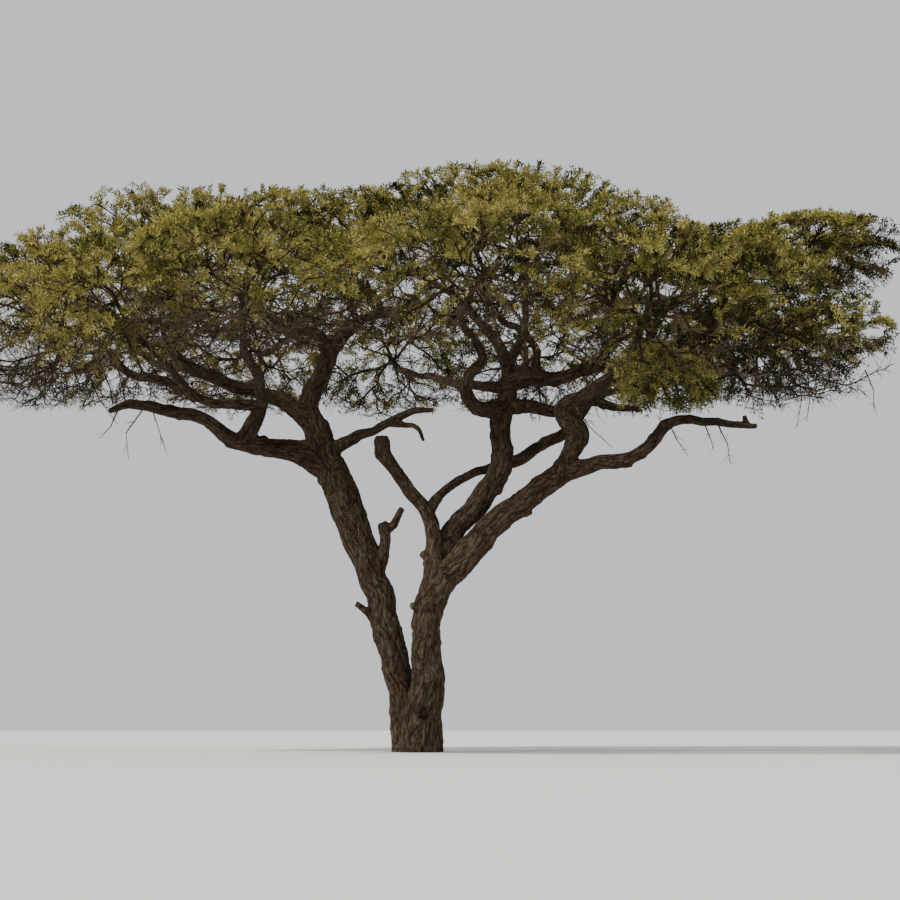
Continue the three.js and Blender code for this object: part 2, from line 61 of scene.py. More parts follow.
# Limbs of the model: stations (x, y, z, radius). A limb that continues another starts at its
# end, and any other starts inside the limb that bears it.
LIMBS = {
    "stem_right": [
        (0, 0, 0, 300), (40, 0, 440, 286), (90, 0, 910, 258), (100, 0, 1580, 217), (110, 0, 2030, 210),
        (210, 0, 2370, 238), (340, -30, 2630, 250)],
    "stem_left": [
        (-150, 400, 0, 250), (-240, 380, 770, 218), (-490, 360, 1820, 212), (-740, 360, 2660, 220),
        (-1000, 360, 3340, 250), (-1190, 360, 3880, 262), (-1460, 380, 4540, 225), (-1730, 400, 5230, 162),
        (-1530, 400, 5790, 139), (-1390, 400, 6140, 124)],
    "limb_right": [
        (610, -60, 2850, 225), (970, -120, 3250, 202), (1310, -180, 3540, 187), (2020, -300, 4060, 172),
        (2530, -400, 4240, 119), (3120, -500, 4350, 97), (3450, -550, 4580, 97), (3630, -600, 4830, 89),
        (3860, -650, 4900, 74), (4440, -750, 4790, 63), (4980, -800, 4770, 40)],
    "limb_middle": [
        (270, 30, 2420, 165), (440, 50, 3220, 166), (900, 80, 3770, 174), (1160, 100, 4110, 174),
        (1250, 120, 4540, 167), (1230, 150, 5010, 153), (1300, 180, 5440, 138), (1340, 300, 5850, 105),
        (1160, 480, 6350, 82), (700, 760, 6880, 62)],
    "limb_left": [
        (215, -30, 2430, 140), (190, -120, 2950, 122), (150, -150, 3410, 112), (-40, -180, 3760, 105),
        (-350, -200, 4150, 98), (-520, -200, 4400, 116), (-580, -200, 4630, 128), (-590, -200, 4710, 98)],
    "limb_thin": [
        (110, -140, 3560, 80), (350, 100, 3890, 68), (750, 400, 4210, 69), (1060, 600, 4310, 72),
        (1450, 800, 4450, 98), (1930, 1000, 4760, 94), (2340, 1300, 5050, 87), (2660, 1700, 5500, 80),
        (3200, 2050, 6050, 62), (3600, 2150, 6450, 50)],
    "bough_hook": [
        (1210, 100, 5150, 114), (910, -100, 5120, 106), (690, -250, 5290, 98), (750, -400, 5590, 90),
        (940, -550, 5780, 75), (860, -800, 5970, 62), (680, -1300, 6140, 54), (600, -2000, 6180, 47),
        (700, -3050, 6120, 40)],
    "bough_bar": [
        (1270, 200, 5510, 84), (910, 500, 5590, 74), (590, 900, 5680, 68), (280, 1600, 5910, 60),
        (-120, 2600, 6150, 52), (-480, 3400, 6400, 44)],
    "bough_upper": [
        (1330, 150, 5580, 118), (1660, 50, 5640, 120), (2150, 0, 5640, 107), (2470, -50, 5730, 91),
        (2750, -150, 5900, 76), (2960, -480, 6300, 54)],
    "bough_riser": [
        (1710, 50, 5650, 76), (1750, -50, 5870, 68), (1730, -150, 6050, 61), (1530, -300, 6300, 55),
        (1240, -450, 6440, 52), (1080, -620, 6600, 45)],
    "bough_cross": [
        (1270, 150, 5250, 107), (1620, 200, 5200, 99), (2050, 200, 5150, 92), (2430, 150, 5250, 84),
        (2670, 100, 5290, 76), (2970, 0, 5200, 66), (3340, -100, 5120, 42)],
    "bough_s_bend": [
        (2100, -320, 4080, 130), (2180, -350, 4340, 100), (2300, -380, 4520, 148), (2370, -410, 4690, 170),
        (2240, -440, 4880, 155), (2130, -470, 5050, 130), (2190, -520, 5170, 114), (2380, -600, 5250, 104),
        (2710, -800, 5400, 96), (2930, -1200, 5570, 80), (3080, -2350, 5760, 56)],
    "bough_side": [
        (2860, -1050, 5500, 60), (3060, -1230, 5330, 56), (3250, -1380, 5210, 50), (3420, -1500, 5170, 42)],
    "bough_top_right": [
        (1330, 310, 5900, 78), (1560, 560, 6320, 66), (1640, 720, 6720, 56), (1620, 800, 7050, 48)],
    "bough_rear_middle": [
        (1300, 350, 6000, 76), (1420, 1150, 6020, 68), (1560, 2300, 6120, 58), (1720, 3350, 6380, 46)],
    "bough_right": [
        (2470, -50, 5730, 80), (2900, 80, 5830, 78), (3450, 20, 5950, 72), (3950, -150, 6090, 62),
        (4320, -350, 6250, 50)],
    "bough_right_upper": [
        (3720, -60, 6020, 60), (4350, 200, 6560, 54), (4850, 480, 7150, 48), (5250, 680, 7620, 40)],
    "bough_right_lower": [
        (4040, -190, 6120, 52), (4560, -330, 6010, 50), (5080, -400, 5960, 42)],
    "bough_right_front": [
        (2710, -800, 5400, 74), (3180, -1250, 5560, 66), (3700, -1750, 5640, 58), (4080, -2080, 5720, 48)],
    "bough_right_rear": [
        (3250, 50, 5910, 62), (3800, 700, 5930, 58), (4500, 1500, 6020, 52), (5000, 2050, 6180, 44)],
    "bough_rear_right": [
        (2750, 1760, 5600, 68), (3050, 2450, 5820, 60), (3420, 3150, 6020, 52), (3750, 3650, 6250, 44)],
    "bough_low_left": [
        (-1480, 370, 4340, 175), (-1850, 300, 4530, 161), (-2180, 220, 4600, 145), (-2520, 150, 4620, 150),
        (-2860, 50, 4710, 129), (-3170, 0, 4920, 99), (-3490, -100, 5060, 98), (-3790, -200, 5100, 96),
        (-4320, -400, 5150, 75), (-4650, -500, 5040, 42)],
    "bough_low_riser": [
        (-2700, 100, 4660, 118), (-2510, 0, 4920, 114), (-2390, -200, 5200, 98), (-2400, -900, 5440, 81),
        (-2460, -2000, 5640, 62), (-2400, -2950, 5800, 46)],
    "bough_mid_left": [
        (-1650, 400, 4980, 140), (-2090, 360, 5320, 123), (-2550, 300, 5460, 107), (-3240, 150, 5700, 99),
        (-3560, 100, 5830, 84), (-3820, 0, 6060, 69), (-3900, -200, 6330, 52)],
    "bough_long_left": [
        (-2410, -180, 5170, 83), (-2720, -260, 5170, 75), (-3310, -350, 5230, 70), (-3850, -500, 5510, 67),
        (-4340, -600, 5600, 62), (-4710, -680, 5930, 54), (-5060, -600, 6150, 45)],
    "bough_left_front": [
        (-3380, -370, 5260, 62), (-3560, -1100, 5420, 60), (-3750, -1750, 5620, 54),
        (-4020, -2300, 5870, 46)],
    "bough_left_rear": [
        (-3240, 150, 5700, 78), (-3800, 750, 5920, 66), (-4350, 1350, 6180, 56), (-4700, 1750, 6500, 46)],
    "bough_knee": [
        (-1460, 370, 4530, 98), (-990, 200, 4750, 84), (-670, 100, 4860, 68), (-280, 0, 5040, 61),
        (-40, -50, 5110, 53), (190, -100, 5120, 36)],
    "bough_knee_hook": [
        (-470, 50, 4940, 46), (-250, 0, 4890, 46), (-50, -50, 4820, 38), (50, -50, 4650, 28)],
    "fork_left": [
        (-1400, 400, 6080, 92), (-1600, 500, 6380, 93), (-1900, 700, 6560, 80), (-2250, 1000, 6700, 68),
        (-2550, 1350, 6950, 54)],
    "fork_right": [
        (-1160, 300, 6390, 100), (-840, 100, 6580, 80), (-600, -200, 6640, 64), (-680, -620, 6760, 50)],
    "bough_rear_left": [
        (-1900, 700, 6560, 68), (-2150, 1600, 6560, 60), (-2450, 2500, 6560, 54), (-2800, 3350, 6600, 46)],
    "stub_broken": [
        (-690, 350, 2620, 95), (-580, 300, 2950, 86), (-540, 270, 3150, 82), (-560, 250, 3380, 96),
        (-590, 250, 3450, 66)],
}
CONTINUES = {"limb_right": "stem_right", "fork_right": "stem_left"}

# Snapped twig bases and burrs: root, end and radius
NUBS = [
    ((-0.76, 0.32, 2.06), (-0.98, 0.3, 2.22), 0.05),
    ((0.1, -0.04, 2.08), (-0.15, -0.08, 2.16), 0.036),
    ((0.2, -0.1, 2.78), (0.01, -0.1, 2.94), 0.04),
    ((1.56, -0.22, 3.72), (1.64, -0.24, 3.5), 0.056),
    ((2.86, -0.48, 4.25), (3.15, -0.52, 4.265), 0.072),
    ((4.84, -0.79, 4.79), (4.79, -0.78, 4.93), 0.03),
    ((-0.56, 0.26, 3.26), (-0.4, 0.24, 3.42), 0.058),
    ((-0.42, 0.24, 3.38), (-0.28, 0.24, 3.67), 0.052),
    ((2.67, 0.1, 5.29), (2.8, 0.06, 5.17), 0.04),
]
NUB_TAPER = 0.8
NUB_SOFTENING = 0.012

# Dead twigs that hang from the limbs and from the lowest masses: root, bends and end
HANGING = [
    [(4.21, -0.78, 4.8), (4.28, -0.78, 4.6), (4.34, -0.76, 4.44)],
    [(4.41, -0.78, 4.78), (4.54, -0.78, 4.5), (4.57, -0.8, 4.19)],
    [(3.67, -0.68, 4.88), (3.8, -0.7, 4.58), (3.96, -0.72, 4.33)],
    [(2.3, -0.58, 5.12), (2.52, -0.6, 4.78), (2.86, -0.6, 4.47)],
    [(5.66, -0.55, 5.6), (5.68, -0.6, 5.2), (5.6, -0.62, 4.77)],
    [(5.8, -0.5, 5.62), (5.82, -0.5, 5.2), (5.76, -0.52, 4.88)],
    [(6.7, -0.3, 5.7), (6.82, -0.3, 5.4), (6.81, -0.32, 5.12)],
    [(-5, -0.5, 5.7), (-4.82, -0.46, 5.25), (-4.52, -0.45, 4.85)],
    [(-4.05, -0.34, 5.16), (-3.96, -0.4, 4.92), (-3.8, -0.42, 4.45)],
    [(-4.12, -0.36, 5.15), (-4.4, -0.42, 4.72), (-4.35, -0.44, 4.33)],
    [(-4.5, -0.46, 5.1), (-4.62, -0.5, 4.8), (-4.78, -0.52, 4.62)],
]

# The limbs whose bark is one piece with the stems; the rest are the boughs' piece
MAIN_LIMBS = [
    "stem_right", "stem_left", "limb_right", "limb_middle", "limb_left", "stub_broken",
    "bough_low_left", "bough_s_bend",
]

# Masses of foliage: the limb that carries it, the middle of its space, its reach along X, along
# Y, up and down, and the share of its depth below the middle above which its twigs have leaves
MASSES = {
    "far_left": ("bough_long_left", (-6.05, -0.45, 6.6), (1.5, 1.8, 1, 1.5), -0.7),
    "left": ("bough_mid_left", (-3.95, -0.5, 7.2), (1.85, 1.75, 1.3, 1.6), -0.5),
    "mid_left": ("fork_right", (-1.65, -1.35, 7.2), (1.85, 1.85, 0.95, 1.4), -0.72),
    "centre": ("bough_riser", (0.8, -1.35, 7.55), (1.9, 1.8, 0.97, 1.5), -0.45),
    "centre_right": ("bough_upper", (2.8, -1.15, 7.15), (1.65, 1.7, 1.02, 1.5), -0.65),
    "right": ("bough_right", (4.75, -0.75, 6.95), (1.5, 1.8, 0.85, 1.7), -0.7),
    "far_right_upper": ("bough_right_upper", (6.15, 0.8, 7.9), (1.42, 1.5, 0.45, 0.75), -0.92),
    "far_right_lower": ("bough_right_lower", (5.95, -0.35, 6.15), (1.22, 1.55, 0.78, 0.98), -0.7),
    "front_left": ("bough_left_front", (-4.3, -3.1, 6.42), (1.55, 1.65, 0.85, 1.2), -0.78),
    "front_mid_left": ("bough_low_riser", (-2.3, -4.15, 6.3), (1.75, 1.6, 0.9, 1.1), -0.65),
    "front_centre": ("bough_hook", (0.85, -4.35, 6.4), (1.85, 1.6, 0.98, 1.2), -0.68),
    "front_right": ("bough_s_bend", (3.2, -3.65, 6.25), (1.65, 1.65, 0.95, 1.3), -0.85),
    "front_far_right": ("bough_right_front", (4.8, -2.75, 6.02), (1.3, 1.5, 0.85, 1.07), -0.85),
    "low_lobe": ("bough_side", (3.52, -1.85, 5.33), (0.8, 0.75, 0.48, 0.5), -0.95),
    "rear_far_left": ("bough_left_rear", (-5.25, 2.35, 7.3), (1.75, 1.75, 1.1, 1.8), -0.85),
    "back_left": ("fork_left", (-3, 1.9, 7.85), (1.85, 1.8, 1.32, 1.6), -0.5),
    "top_left": ("limb_middle", (-0.55, 1.2, 7.9), (1.9, 1.85, 1.02, 1.5), -0.5),
    "top_right": ("bough_top_right", (1.65, 1.1, 8.18), (1.9, 1.85, 1.08, 1.58), -0.5),
    "back_right": ("limb_thin", (4.05, 2, 7.6), (1.8, 1.7, 0.95, 1.6), -0.6),
    "rear_left": ("bough_rear_left", (-3.25, 4.35, 7.1), (1.8, 1.55, 1.1, 1.32), -0.85),
    "rear_mid_left": ("bough_bar", (-0.75, 4.6, 7.2), (1.8, 1.55, 1.15, 1.42), -0.85),
    "rear_mid_right": ("bough_rear_middle", (1.8, 4.6, 7.2), (1.8, 1.55, 1.15, 1.42), -0.85),
    "rear_right": ("bough_rear_right", (4.15, 4.2, 6.95), (1.7, 1.5, 1, 1.15), -0.8),
    "rear_far_right": ("bough_right_rear", (5.75, 2.5, 6.65), (1.5, 1.6, 0.8, 1.1), -0.7),
}
# Growth of a mass: how many times as many leafy ends and bare ends as usual, and how its leafy
# ends lie, from 1 for evenly over its height to less for near its top
USUAL_GROWTH = (1, 1, 0.52)
GROWTH = {
    "far_left": (1.2, 5, 0.52), "left": (1.2, 1, 0.46),
    "low_lobe": (4.2, 0.4, 0.6), "front_left": (1.25, 1.6, 0.95),
    "front_mid_left": (1.15, 2.4, 0.52), "mid_left": (1, 1.2, 0.6),
    "far_right_upper": (1.9, 1, 0.9), "far_right_lower": (1.1, 1, 0.6),
    "rear_far_left": (1.15, 2.8, 0.8), "back_left": (1.15, 1, 0.45),
    "top_left": (1.15, 1, 0.48), "top_right": (1.25, 1, 0.46),
    "rear_left": (1.1, 2.8, 1), "rear_mid_left": (1.2, 3.2, 1),
    "rear_mid_right": (1, 2, 0.8), "rear_right": (1.2, 2.2, 0.9),
    "rear_far_right": (1.2, 2, 0.8),
}
HEIGHT_WEIGHT = 1.7
WALL_GAP = 0.004

# Rings and bark mesh
RING_STEP = 0.04
ACROSS_LIMBS = (0.2, 1.0, 0.1)
TUBE_SIDES = 18
VOXEL = 0.021
SMOOTHING_STEPS = 3
COLLAR_SWELL = 0.28
COLLAR_REACH = 3.0
BURIED_FOOT = 0.16
CROOKS = [(0.55, 0.045), (0.2, 0.016)]
CROOK_HELD = 0.3
ROOT_SWELL = 0.1
ROOT_SWELL_HEIGHT = 0.3
ROOT_LOBES = 5
ROOT_LOBE_DEPTH = 0.028
ROOT_LOBE_TURN = 1.1
NEAR_GROUND = 0.2

# Bark relief: furrows along the limb between plates, and burrs under them
FURROW_SPACING = 0.075
FURROW_STRETCH = 4.5
FURROW_WIDTH = 0.17
FURROW_DEPTH = 0.02
FURROW_DEPTH_SHARE = 0.11
FURROW_WANDER = 0.02
FINE_FURROWS = (2.1, 2.1, 3.0)
FINE_FURROW_SHARE = 0.45
FULL_FURROW = 1.2
UNMOVED_HEIGHT = 0.72
LUMP_SIZE = 0.34
LUMP_SHARE = 0.05
BURR_SIZE = 0.19
BURR_FROM = 0.32
BURR_SHARE = 0.45
LUMPY_RADIUS = 0.16
GRAIN_SHIFT = 3.7

# The knot scar: its place along X and Z and its reach, and how far out in that reach its sunken
# ring and its rim lie, with the depth of one and the height of the other
KNOT = (0.06, 0.56)
KNOT_REACH = (0.06, 0.095)
KNOT_RING = (0.8, 0.035)
KNOT_RIM = (1.35, 0.02)
KNOT_BLUR = 0.3

# Wood inside a mass
HEART_SHARE = 0.55
FOOT_INSIDE = 0.05
GROWN_WAY_WEIGHT = 0.35
WAY_STEP = 0.2
WAY_BOW = 0.3
WAY_LIFT = 0.4
WAY_JITTER = 0.05
SIDE_TWIG_SWELL = 1.25
ENDS_PER_AREA = 13.0
BARE_ENDS_PER_AREA = 25.0
LEAFY_SPREAD = 0.94
LEAFY_TOP = 0.93
BARE_SPREAD = 0.95
BARE_BOTTOM = -0.97
BARE_OVERLAP = 0.14
DRAW_IN_STEPS = 6
DRAW_IN = 0.15
GOLDEN_ANGLE = math.pi * (3 - math.sqrt(5))

# Radii of the thinnest wood, and for each range of radii how many sides a twig has
TWIG_TIP = 0.0055
FINE_TWIG = 0.0048
SHOOT_RADIUS = 0.0034
TWIG_SIDES = [(0, 0.011, 3), (0.011, 0.026, 5), (0.026, 1, 7)]
ACROSS_TWIGS = (0.31, 0.92, 0.24)

# Shoots, whips among them, and bare twiglets. Each is cut back until its end lies in the space
# of its mass at the scale SHOOT_SPACE, WHIP_SPACE or TWIGLET_SPACE.
SHOOTS_PER_END = 3
CLUMP_SIZE = (0.85, 0.85, 0.38)
CLUMP_SHOOTS = 3.8
EVEN_FROM = 2.0
EVEN_CLUMP = 0.12
SHOOT_LENGTH = (0.2, 0.44)
SHOOT_TURN = (0.5, 1.25)
SHOOT_ROOT = (0.35, 0.95)
SHOOT_SAG = 0.22
WHIP_SHARE = 0.08
WHIP_FROM = 0.4
WHIP_LENGTH = (0.45, 0.6)
SHOOT_SPACE = 0.99
WHIP_SPACE = 1.05
TWIGLET_SPACE = 1.03
LEAST_LENGTH = 0.1
CUT_BACK = 0.05
TWIGLETS_PER_BARE_END = 5
TWIGLETS_PER_LEAFY_END = 1
TWIGLETS_PER_HANGING = 5
TWIGLET_LENGTH = (0.15, 0.42)
TWIGLET_TAPER = 0.8
HANGING_TWIGLET_LENGTH = (0.08, 0.24)

# Leaves in sprays along a shoot: how each turns from it, and its shape as shares of its length
TUFT_SPACING = 0.055
LEAVES_PER_TUFT = 5
LEAF_LENGTH = (0.05, 0.095)
LEAF_STALK = 0.004
LEAF_TURN = 0.4
LEAF_SPREAD = 0.7
LEAF_FORWARD = (0.35, 1.1)
LEAF_LIFT = 0.12
LEAF_TILT = 0.45
LEAF_WIDTH = 0.28
LEAF_FOLD = 0.16
LEAF_MIDDLE = 0.48
LEAF_DROOP = 0.06

# Tone of a spray of leaves, much of it painted light and shade: what each trait adds (painted light high in
# a mass, on dense clumps and on the side towards the sun, painted shade low in it, in sparse clumps and on
# the side away from the sun, and tone by chance), where the side away from the sun starts along X, the steps
# between the four greens, and which sprays are dry
LIGHT_AND_SHADE_OF_HEIGHT = 0.32
TONE_OF_CLUMP = 1.15
TONE_OF_EVEN = 0.2
TONE_OF_SUN = 0.17
TONE_OF_SHOOT = 0.36
TONE_OF_SPRAY = 0.3
SHADE_FROM = 2.2
SHADE_WIDTH = 3.5
TONE_STEPS = (-0.14, 0.06, 0.32)
DRY_COLOUR = 4
DRY_PATCH_SIZE = 0.8
DRY_PATCH_FROM = 0.4
DRY_IN_PATCH = 0.45
DRY_ANYWHERE = 0.97

# Short twigs that sprout from the boughs inside the crown
SPROUTS_FROM = 5.15
SPROUT_SPACING = 0.11
SPROUT_LENGTH = (0.12, 0.42)

MOST_TRIANGLES = 190000
UP = np.array([0.0, 0.0, 1.0])
SEED = 4021


def unit(vectors):
    """The vectors at length 1."""
    return vectors / np.maximum(np.linalg.norm(vectors, axis=-1, keepdims=True), 1e-9)


GRADIENTS = unit(np.random.default_rng(SEED).normal(size=(256, 3)))


def noise(points):
    """Smooth noise, from about -1 to 1, at an (n, 3) array of points."""
    cell = np.floor(points).astype(np.int64)
    local = points - cell
    fade = local**3 * (local * (local * 6 - 15) + 10)
    total = np.zeros(len(points))
    for corner in itertools.product((0, 1), repeat=3):
        at = cell + corner
        key = (at[:, 0] * 73856093) ^ (at[:, 1] * 19349663) ^ (at[:, 2] * 83492791)
        slope = GRADIENTS[(key ^ (key >> 11)) & 255]
        share = np.prod(np.where(corner, fade, 1 - fade), axis=1)
        total += share * np.sum(slope * (local - corner), axis=1)
    return total * 1.6


def noise_vectors(points, shifts):
    """A vector of noise at each point, each axis from its own shift."""
    return np.stack([noise(points + shift) for shift in shifts], axis=1)


# Limbs as rings
def curve_span(p0, p1, p2, p3, shares):
    """Points of the centripetal curve from p1 to p2."""
    gaps = [max(np.linalg.norm(b - a), 1e-6) ** 0.5 for a, b in ((p0, p1), (p1, p2), (p2, p3))]
    d0, d1, d2 = gaps
    t1 = ((p1 - p0) / d0 - (p2 - p0) / (d0 + d1) + (p2 - p1) / d1) * d1
    t2 = ((p2 - p1) / d1 - (p3 - p1) / (d1 + d2) + (p3 - p2) / d2) * d1
    t = shares[:, None]
    return p1 + t1 * t + (3 * (p2 - p1) - 2 * t1 - t2) * t**2 + (2 * (p1 - p2) + t1 + t2) * t**3


def crook(point, length):
    """Small kinks along a limb, none at its ends."""
    held = np.minimum(1, np.minimum(length, length[-1] - length) / CROOK_HELD)
    move = np.zeros_like(point)
    for spacing, size in CROOKS:
        move += noise_vectors(point / spacing, (0.5, 40.5, 80.5)) * size
    return move * held[:, None]


def rings_along(stations, starts_free):
    """Rings every few centimetres through the stations: points, directions, sides, radii."""
    stations = np.array(stations, float)
    points = stations[:, :3]
    padded = np.vstack([2 * points[0] - points[1], points, 2 * points[-1] - points[-2]])
    way, radii = [], []
    for i in range(len(points) - 1):
        steps = max(2, round(np.linalg.norm(points[i + 1] - points[i]) / RING_STEP))
        shares = np.arange(steps) / steps
        way.append(curve_span(*padded[i : i + 4], shares))
        radii.append(stations[i, 3] + (stations[i + 1, 3] - stations[i, 3]) * shares)
    way.append(points[-1:])
    radii.append(stations[-1:, 3])
    point, radius = np.vstack(way), np.concatenate(radii)
    length = np.concatenate([[0], np.cumsum(np.linalg.norm(np.diff(point, axis=0), axis=1))])
    point = point + crook(point, length)
    direction = unit(np.gradient(point, axis=0))
    if point[0, 2] == 0:
        direction[0] = UP
    if starts_free:
        radius = radius * (1 + COLLAR_SWELL * np.exp(-((length / (COLLAR_REACH * radius[0])) ** 2)))
    side = [unit(np.cross(direction[0], ACROSS_LIMBS))]
    for d in direction[1:]:
        side.append(unit(side[-1] - d * (side[-1] @ d)))
    side = np.array(side)
    depth = np.cross(direction, side)
    return dict(point=point, direction=direction, side=side, depth=depth, radius=radius, length=length)


def make_limbs():
    limbs = {}
    for name, stations in LIMBS.items():
        before = CONTINUES.get(name)
        through = ([LIMBS[before][-1]] if before else []) + stations
        on_ground = stations[0][2] == 0
        limbs[name] = rings_along(np.array(through) / 1000, starts_free=not before and not on_ground)
    return limbs


def ring_corners(point, side, depth, radius, sides):
    """The corners of a ring with so many sides around each point."""
    turn = np.arange(sides) * 2 * math.pi / sides
    across = side[:, None] * np.cos(turn)[:, None] + depth[:, None] * np.sin(turn)[:, None]
    return point[:, None] + across * radius[:, None, None]


def tube(rings, sides):
    """A closed tube through rings, as vertices and faces."""
    corners = ring_corners(rings["point"], rings["side"], rings["depth"], rings["radius"], sides)
    count = len(corners)
    faces = []
    for row in range(count - 1):
        for k in range(sides):
            a, b = row * sides + k, row * sides + (k + 1) % sides
            faces.append((a, b, b + sides, a + sides))
    faces.append(tuple(reversed(range(sides))))
    faces.append(tuple(range((count - 1) * sides, count * sides)))
    return corners.reshape(-1, 3), faces


def bark_rings(rings):
    """A stem's rings with its swelling towards the root.

    They begin lower, so that a level cut on the ground leaves a clean edge."""
    swell = 1 + ROOT_SWELL * np.exp(-rings["point"][:, 2] / ROOT_SWELL_HEIGHT)
    rings = {**rings, "radius": rings["radius"] * swell}
    foot = {**rings, "point": rings["point"] - UP * BURIED_FOOT}
    return {key: np.concatenate([foot[key][:1], rings[key]]) for key in rings}


def linked(name, data):
    """A new object in the scene."""
    made = bpy.data.objects.new(name, data)
    bpy.context.scene.collection.objects.link(made)
    return made


def vectors_of(items, attribute):
    values = np.zeros(len(items) * 3, np.float32)
    items.foreach_get(attribute, values)
    return values.reshape(-1, 3).astype(float)


def fused_wood(limbs):
    """All limbs and nubs as one smooth skin."""
    tubes = [bark_rings(rings) if rings["point"][0, 2] == 0 else rings for rings in limbs.values()]
    for root, end, radius in NUBS:
        thick = radius + NUB_SOFTENING
        tubes.append(rings_along([(*root, thick), (*end, thick * NUB_TAPER)], False))
    vertices, faces, offset = [], [], 0
    for rings in tubes:
        corners, quads = tube(rings, TUBE_SIDES)
        vertices.append(corners)
        faces += [tuple(i + offset for i in face) for face in quads]
        offset += len(corners)
    mesh = bpy.data.meshes.new("wood")
    mesh.from_pydata(np.vstack(vertices).tolist(), [], faces)
    wood = linked("wood", mesh)
    remesh = wood.modifiers.new("skin", "REMESH")
    remesh.mode = "VOXEL"
    remesh.voxel_size = VOXEL
    smooth = wood.modifiers.new("soften", "SMOOTH")
    smooth.factor = 0.5
    smooth.iterations = SMOOTHING_STEPS
    shown = wood.evaluated_get(bpy.context.evaluated_depsgraph_get())
    skin = bpy.data.meshes.new_from_object(shown)
    bpy.data.objects.remove(wood)
    return skin


def limb_places(points, limbs):
    """For each point: the limb whose surface is nearest, its grain place and its radius.

    Grain runs along the limb: across it the place turns with the surface, and its third number
    is the way along."""
    nearest = np.full(len(points), 1e9)
    owner = np.zeros(len(points), int)
    grain = np.zeros((len(points), 3))
    radius = np.zeros(len(points))
    for number, rings in enumerate(limbs.values()):
        margin = rings["radius"].max() * 1.6 + 0.1
        low, high = rings["point"].min(0) - margin, rings["point"].max(0) + margin
        inside = np.flatnonzero(np.all((points > low) & (points < high), axis=1))
        for part in np.array_split(inside, max(1, len(inside) // 4000)):
            if not len(part):
                continue
            offset = points[part, None] - rings["point"][None]
            gap = np.sqrt(np.sum(offset**2, axis=2)) - rings["radius"]
            ring = np.argmin(gap, axis=1)
            near = gap[np.arange(len(part)), ring]
            closer = near < nearest[part]
            part, ring, near = part[closer], ring[closer], near[closer]
            rel = points[part] - rings["point"][ring]
            along = np.sum(rel * rings["direction"][ring], axis=1)
            out = unit(rel - along[:, None] * rings["direction"][ring])
            turned = [np.sum(out * rings[across][ring], axis=1) for across in ("side", "depth")]
            size = rings["radius"][ring]
            grain[part, :2] = np.stack(turned, axis=1) * size[:, None]
            grain[part, 2] = rings["length"][ring] + along + number * GRAIN_SHIFT
            nearest[part], owner[part], radius[part] = near, number, size
    return owner, grain, radius


def bark_relief(points, grain, radius):
    """How far each point of the skin moves out, and its height from furrow 0 to plate 1."""
    stretch = np.array([1, 1, 1 / FURROW_STRETCH]) / FURROW_SPACING
    bent = grain + FURROW_WANDER * noise_vectors(points * 7, (0, 31, 67))
    coarse = noise(bent * stretch)
    fine = noise(bent * stretch * FINE_FURROWS + 17)
    furrow = np.exp(-((coarse / FURROW_WIDTH) ** 2))
    furrow += FINE_FURROW_SHARE * np.exp(-((fine / FURROW_WIDTH) ** 2))
    height = 1 - np.clip(furrow, 0, FULL_FURROW) / FULL_FURROW
    depth = np.minimum(FURROW_DEPTH, FURROW_DEPTH_SHARE * radius)
    lumps = noise(points / LUMP_SIZE) + 0.5 * noise(points / LUMP_SIZE * 2.3 + 5)
    burrs = np.maximum(0, noise(points / BURR_SIZE + 9) - BURR_FROM)
    move = (height - UNMOVED_HEIGHT) * depth
    move += (lumps * LUMP_SHARE + burrs * BURR_SHARE) * np.minimum(radius, LUMPY_RADIUS)
    return move, height


def knot_relief(points):
    """A knot scar, a boss inside a sunken ring: how far it moves the skin, and its shade."""
    across = np.hypot((points[:, 0] - KNOT[0]) / KNOT_REACH[0], (points[:, 2] - KNOT[1]) / KNOT_REACH[1])
    in_front = points[:, 1] < 0
    ring, rim = (np.exp(-(((across - at) / KNOT_BLUR) ** 2)) * in_front for at, _ in (KNOT_RING, KNOT_RIM))
    return KNOT_RIM[1] * rim - KNOT_RING[1] * ring, ring


def root_lobes(points, rings):
    """Flutes that swell towards the root of a stem."""
    rel = points - rings["point"][0]
    turn = np.arctan2(rel[:, 1], rel[:, 0])
    near = np.exp(-np.maximum(points[:, 2], 0) / ROOT_SWELL_HEIGHT)
    return ROOT_LOBE_DEPTH * near * np.sin(ROOT_LOBES * turn + ROOT_LOBE_TURN)


def make_bark(limbs, look):
    skin = fused_wood(limbs)
    points = vectors_of(skin.vertices, "co")
    normals = vectors_of(skin.vertex_normals, "vector")
    owner, grain, radius = limb_places(points, limbs)
    move, height = bark_relief(points, grain, radius)
    knot, shade = knot_relief(points)
    height = height * (1 - shade)
    move += knot + root_lobes(points, limbs["stem_right"])
    points += normals * move[:, None]
    points[:, 2] = np.where(points[:, 2] < 0, points[:, 2] - 0.001, points[:, 2])

    faces = np.zeros(len(skin.loops), np.int32)
    skin.loops.foreach_get("vertex_index", faces)
    faces = faces.reshape(-1, 4)
    names = list(limbs)
    main = np.isin(owner, [names.index(n) for n in MAIN_LIMBS])[faces[:, 0]]
    others = [n for n in names if n not in MAIN_LIMBS]
    kept = (("grain", "FLOAT_VECTOR", "vector", grain), ("height", "FLOAT", "value", height))
    for name, mask, nodes in (("bark_stems", main, MAIN_LIMBS), ("bark_boughs", ~main, others)):
        made, used = polygon_object(name, points, faces[mask], look, smooth=True)
        for attribute, kind, key, values in kept:
            data = made.data.attributes.new(attribute, kind, "POINT").data
            data.foreach_set(key, values[used].astype(np.float32).ravel())
        cut_level(made.data)
        finish_piece(made, nodes)


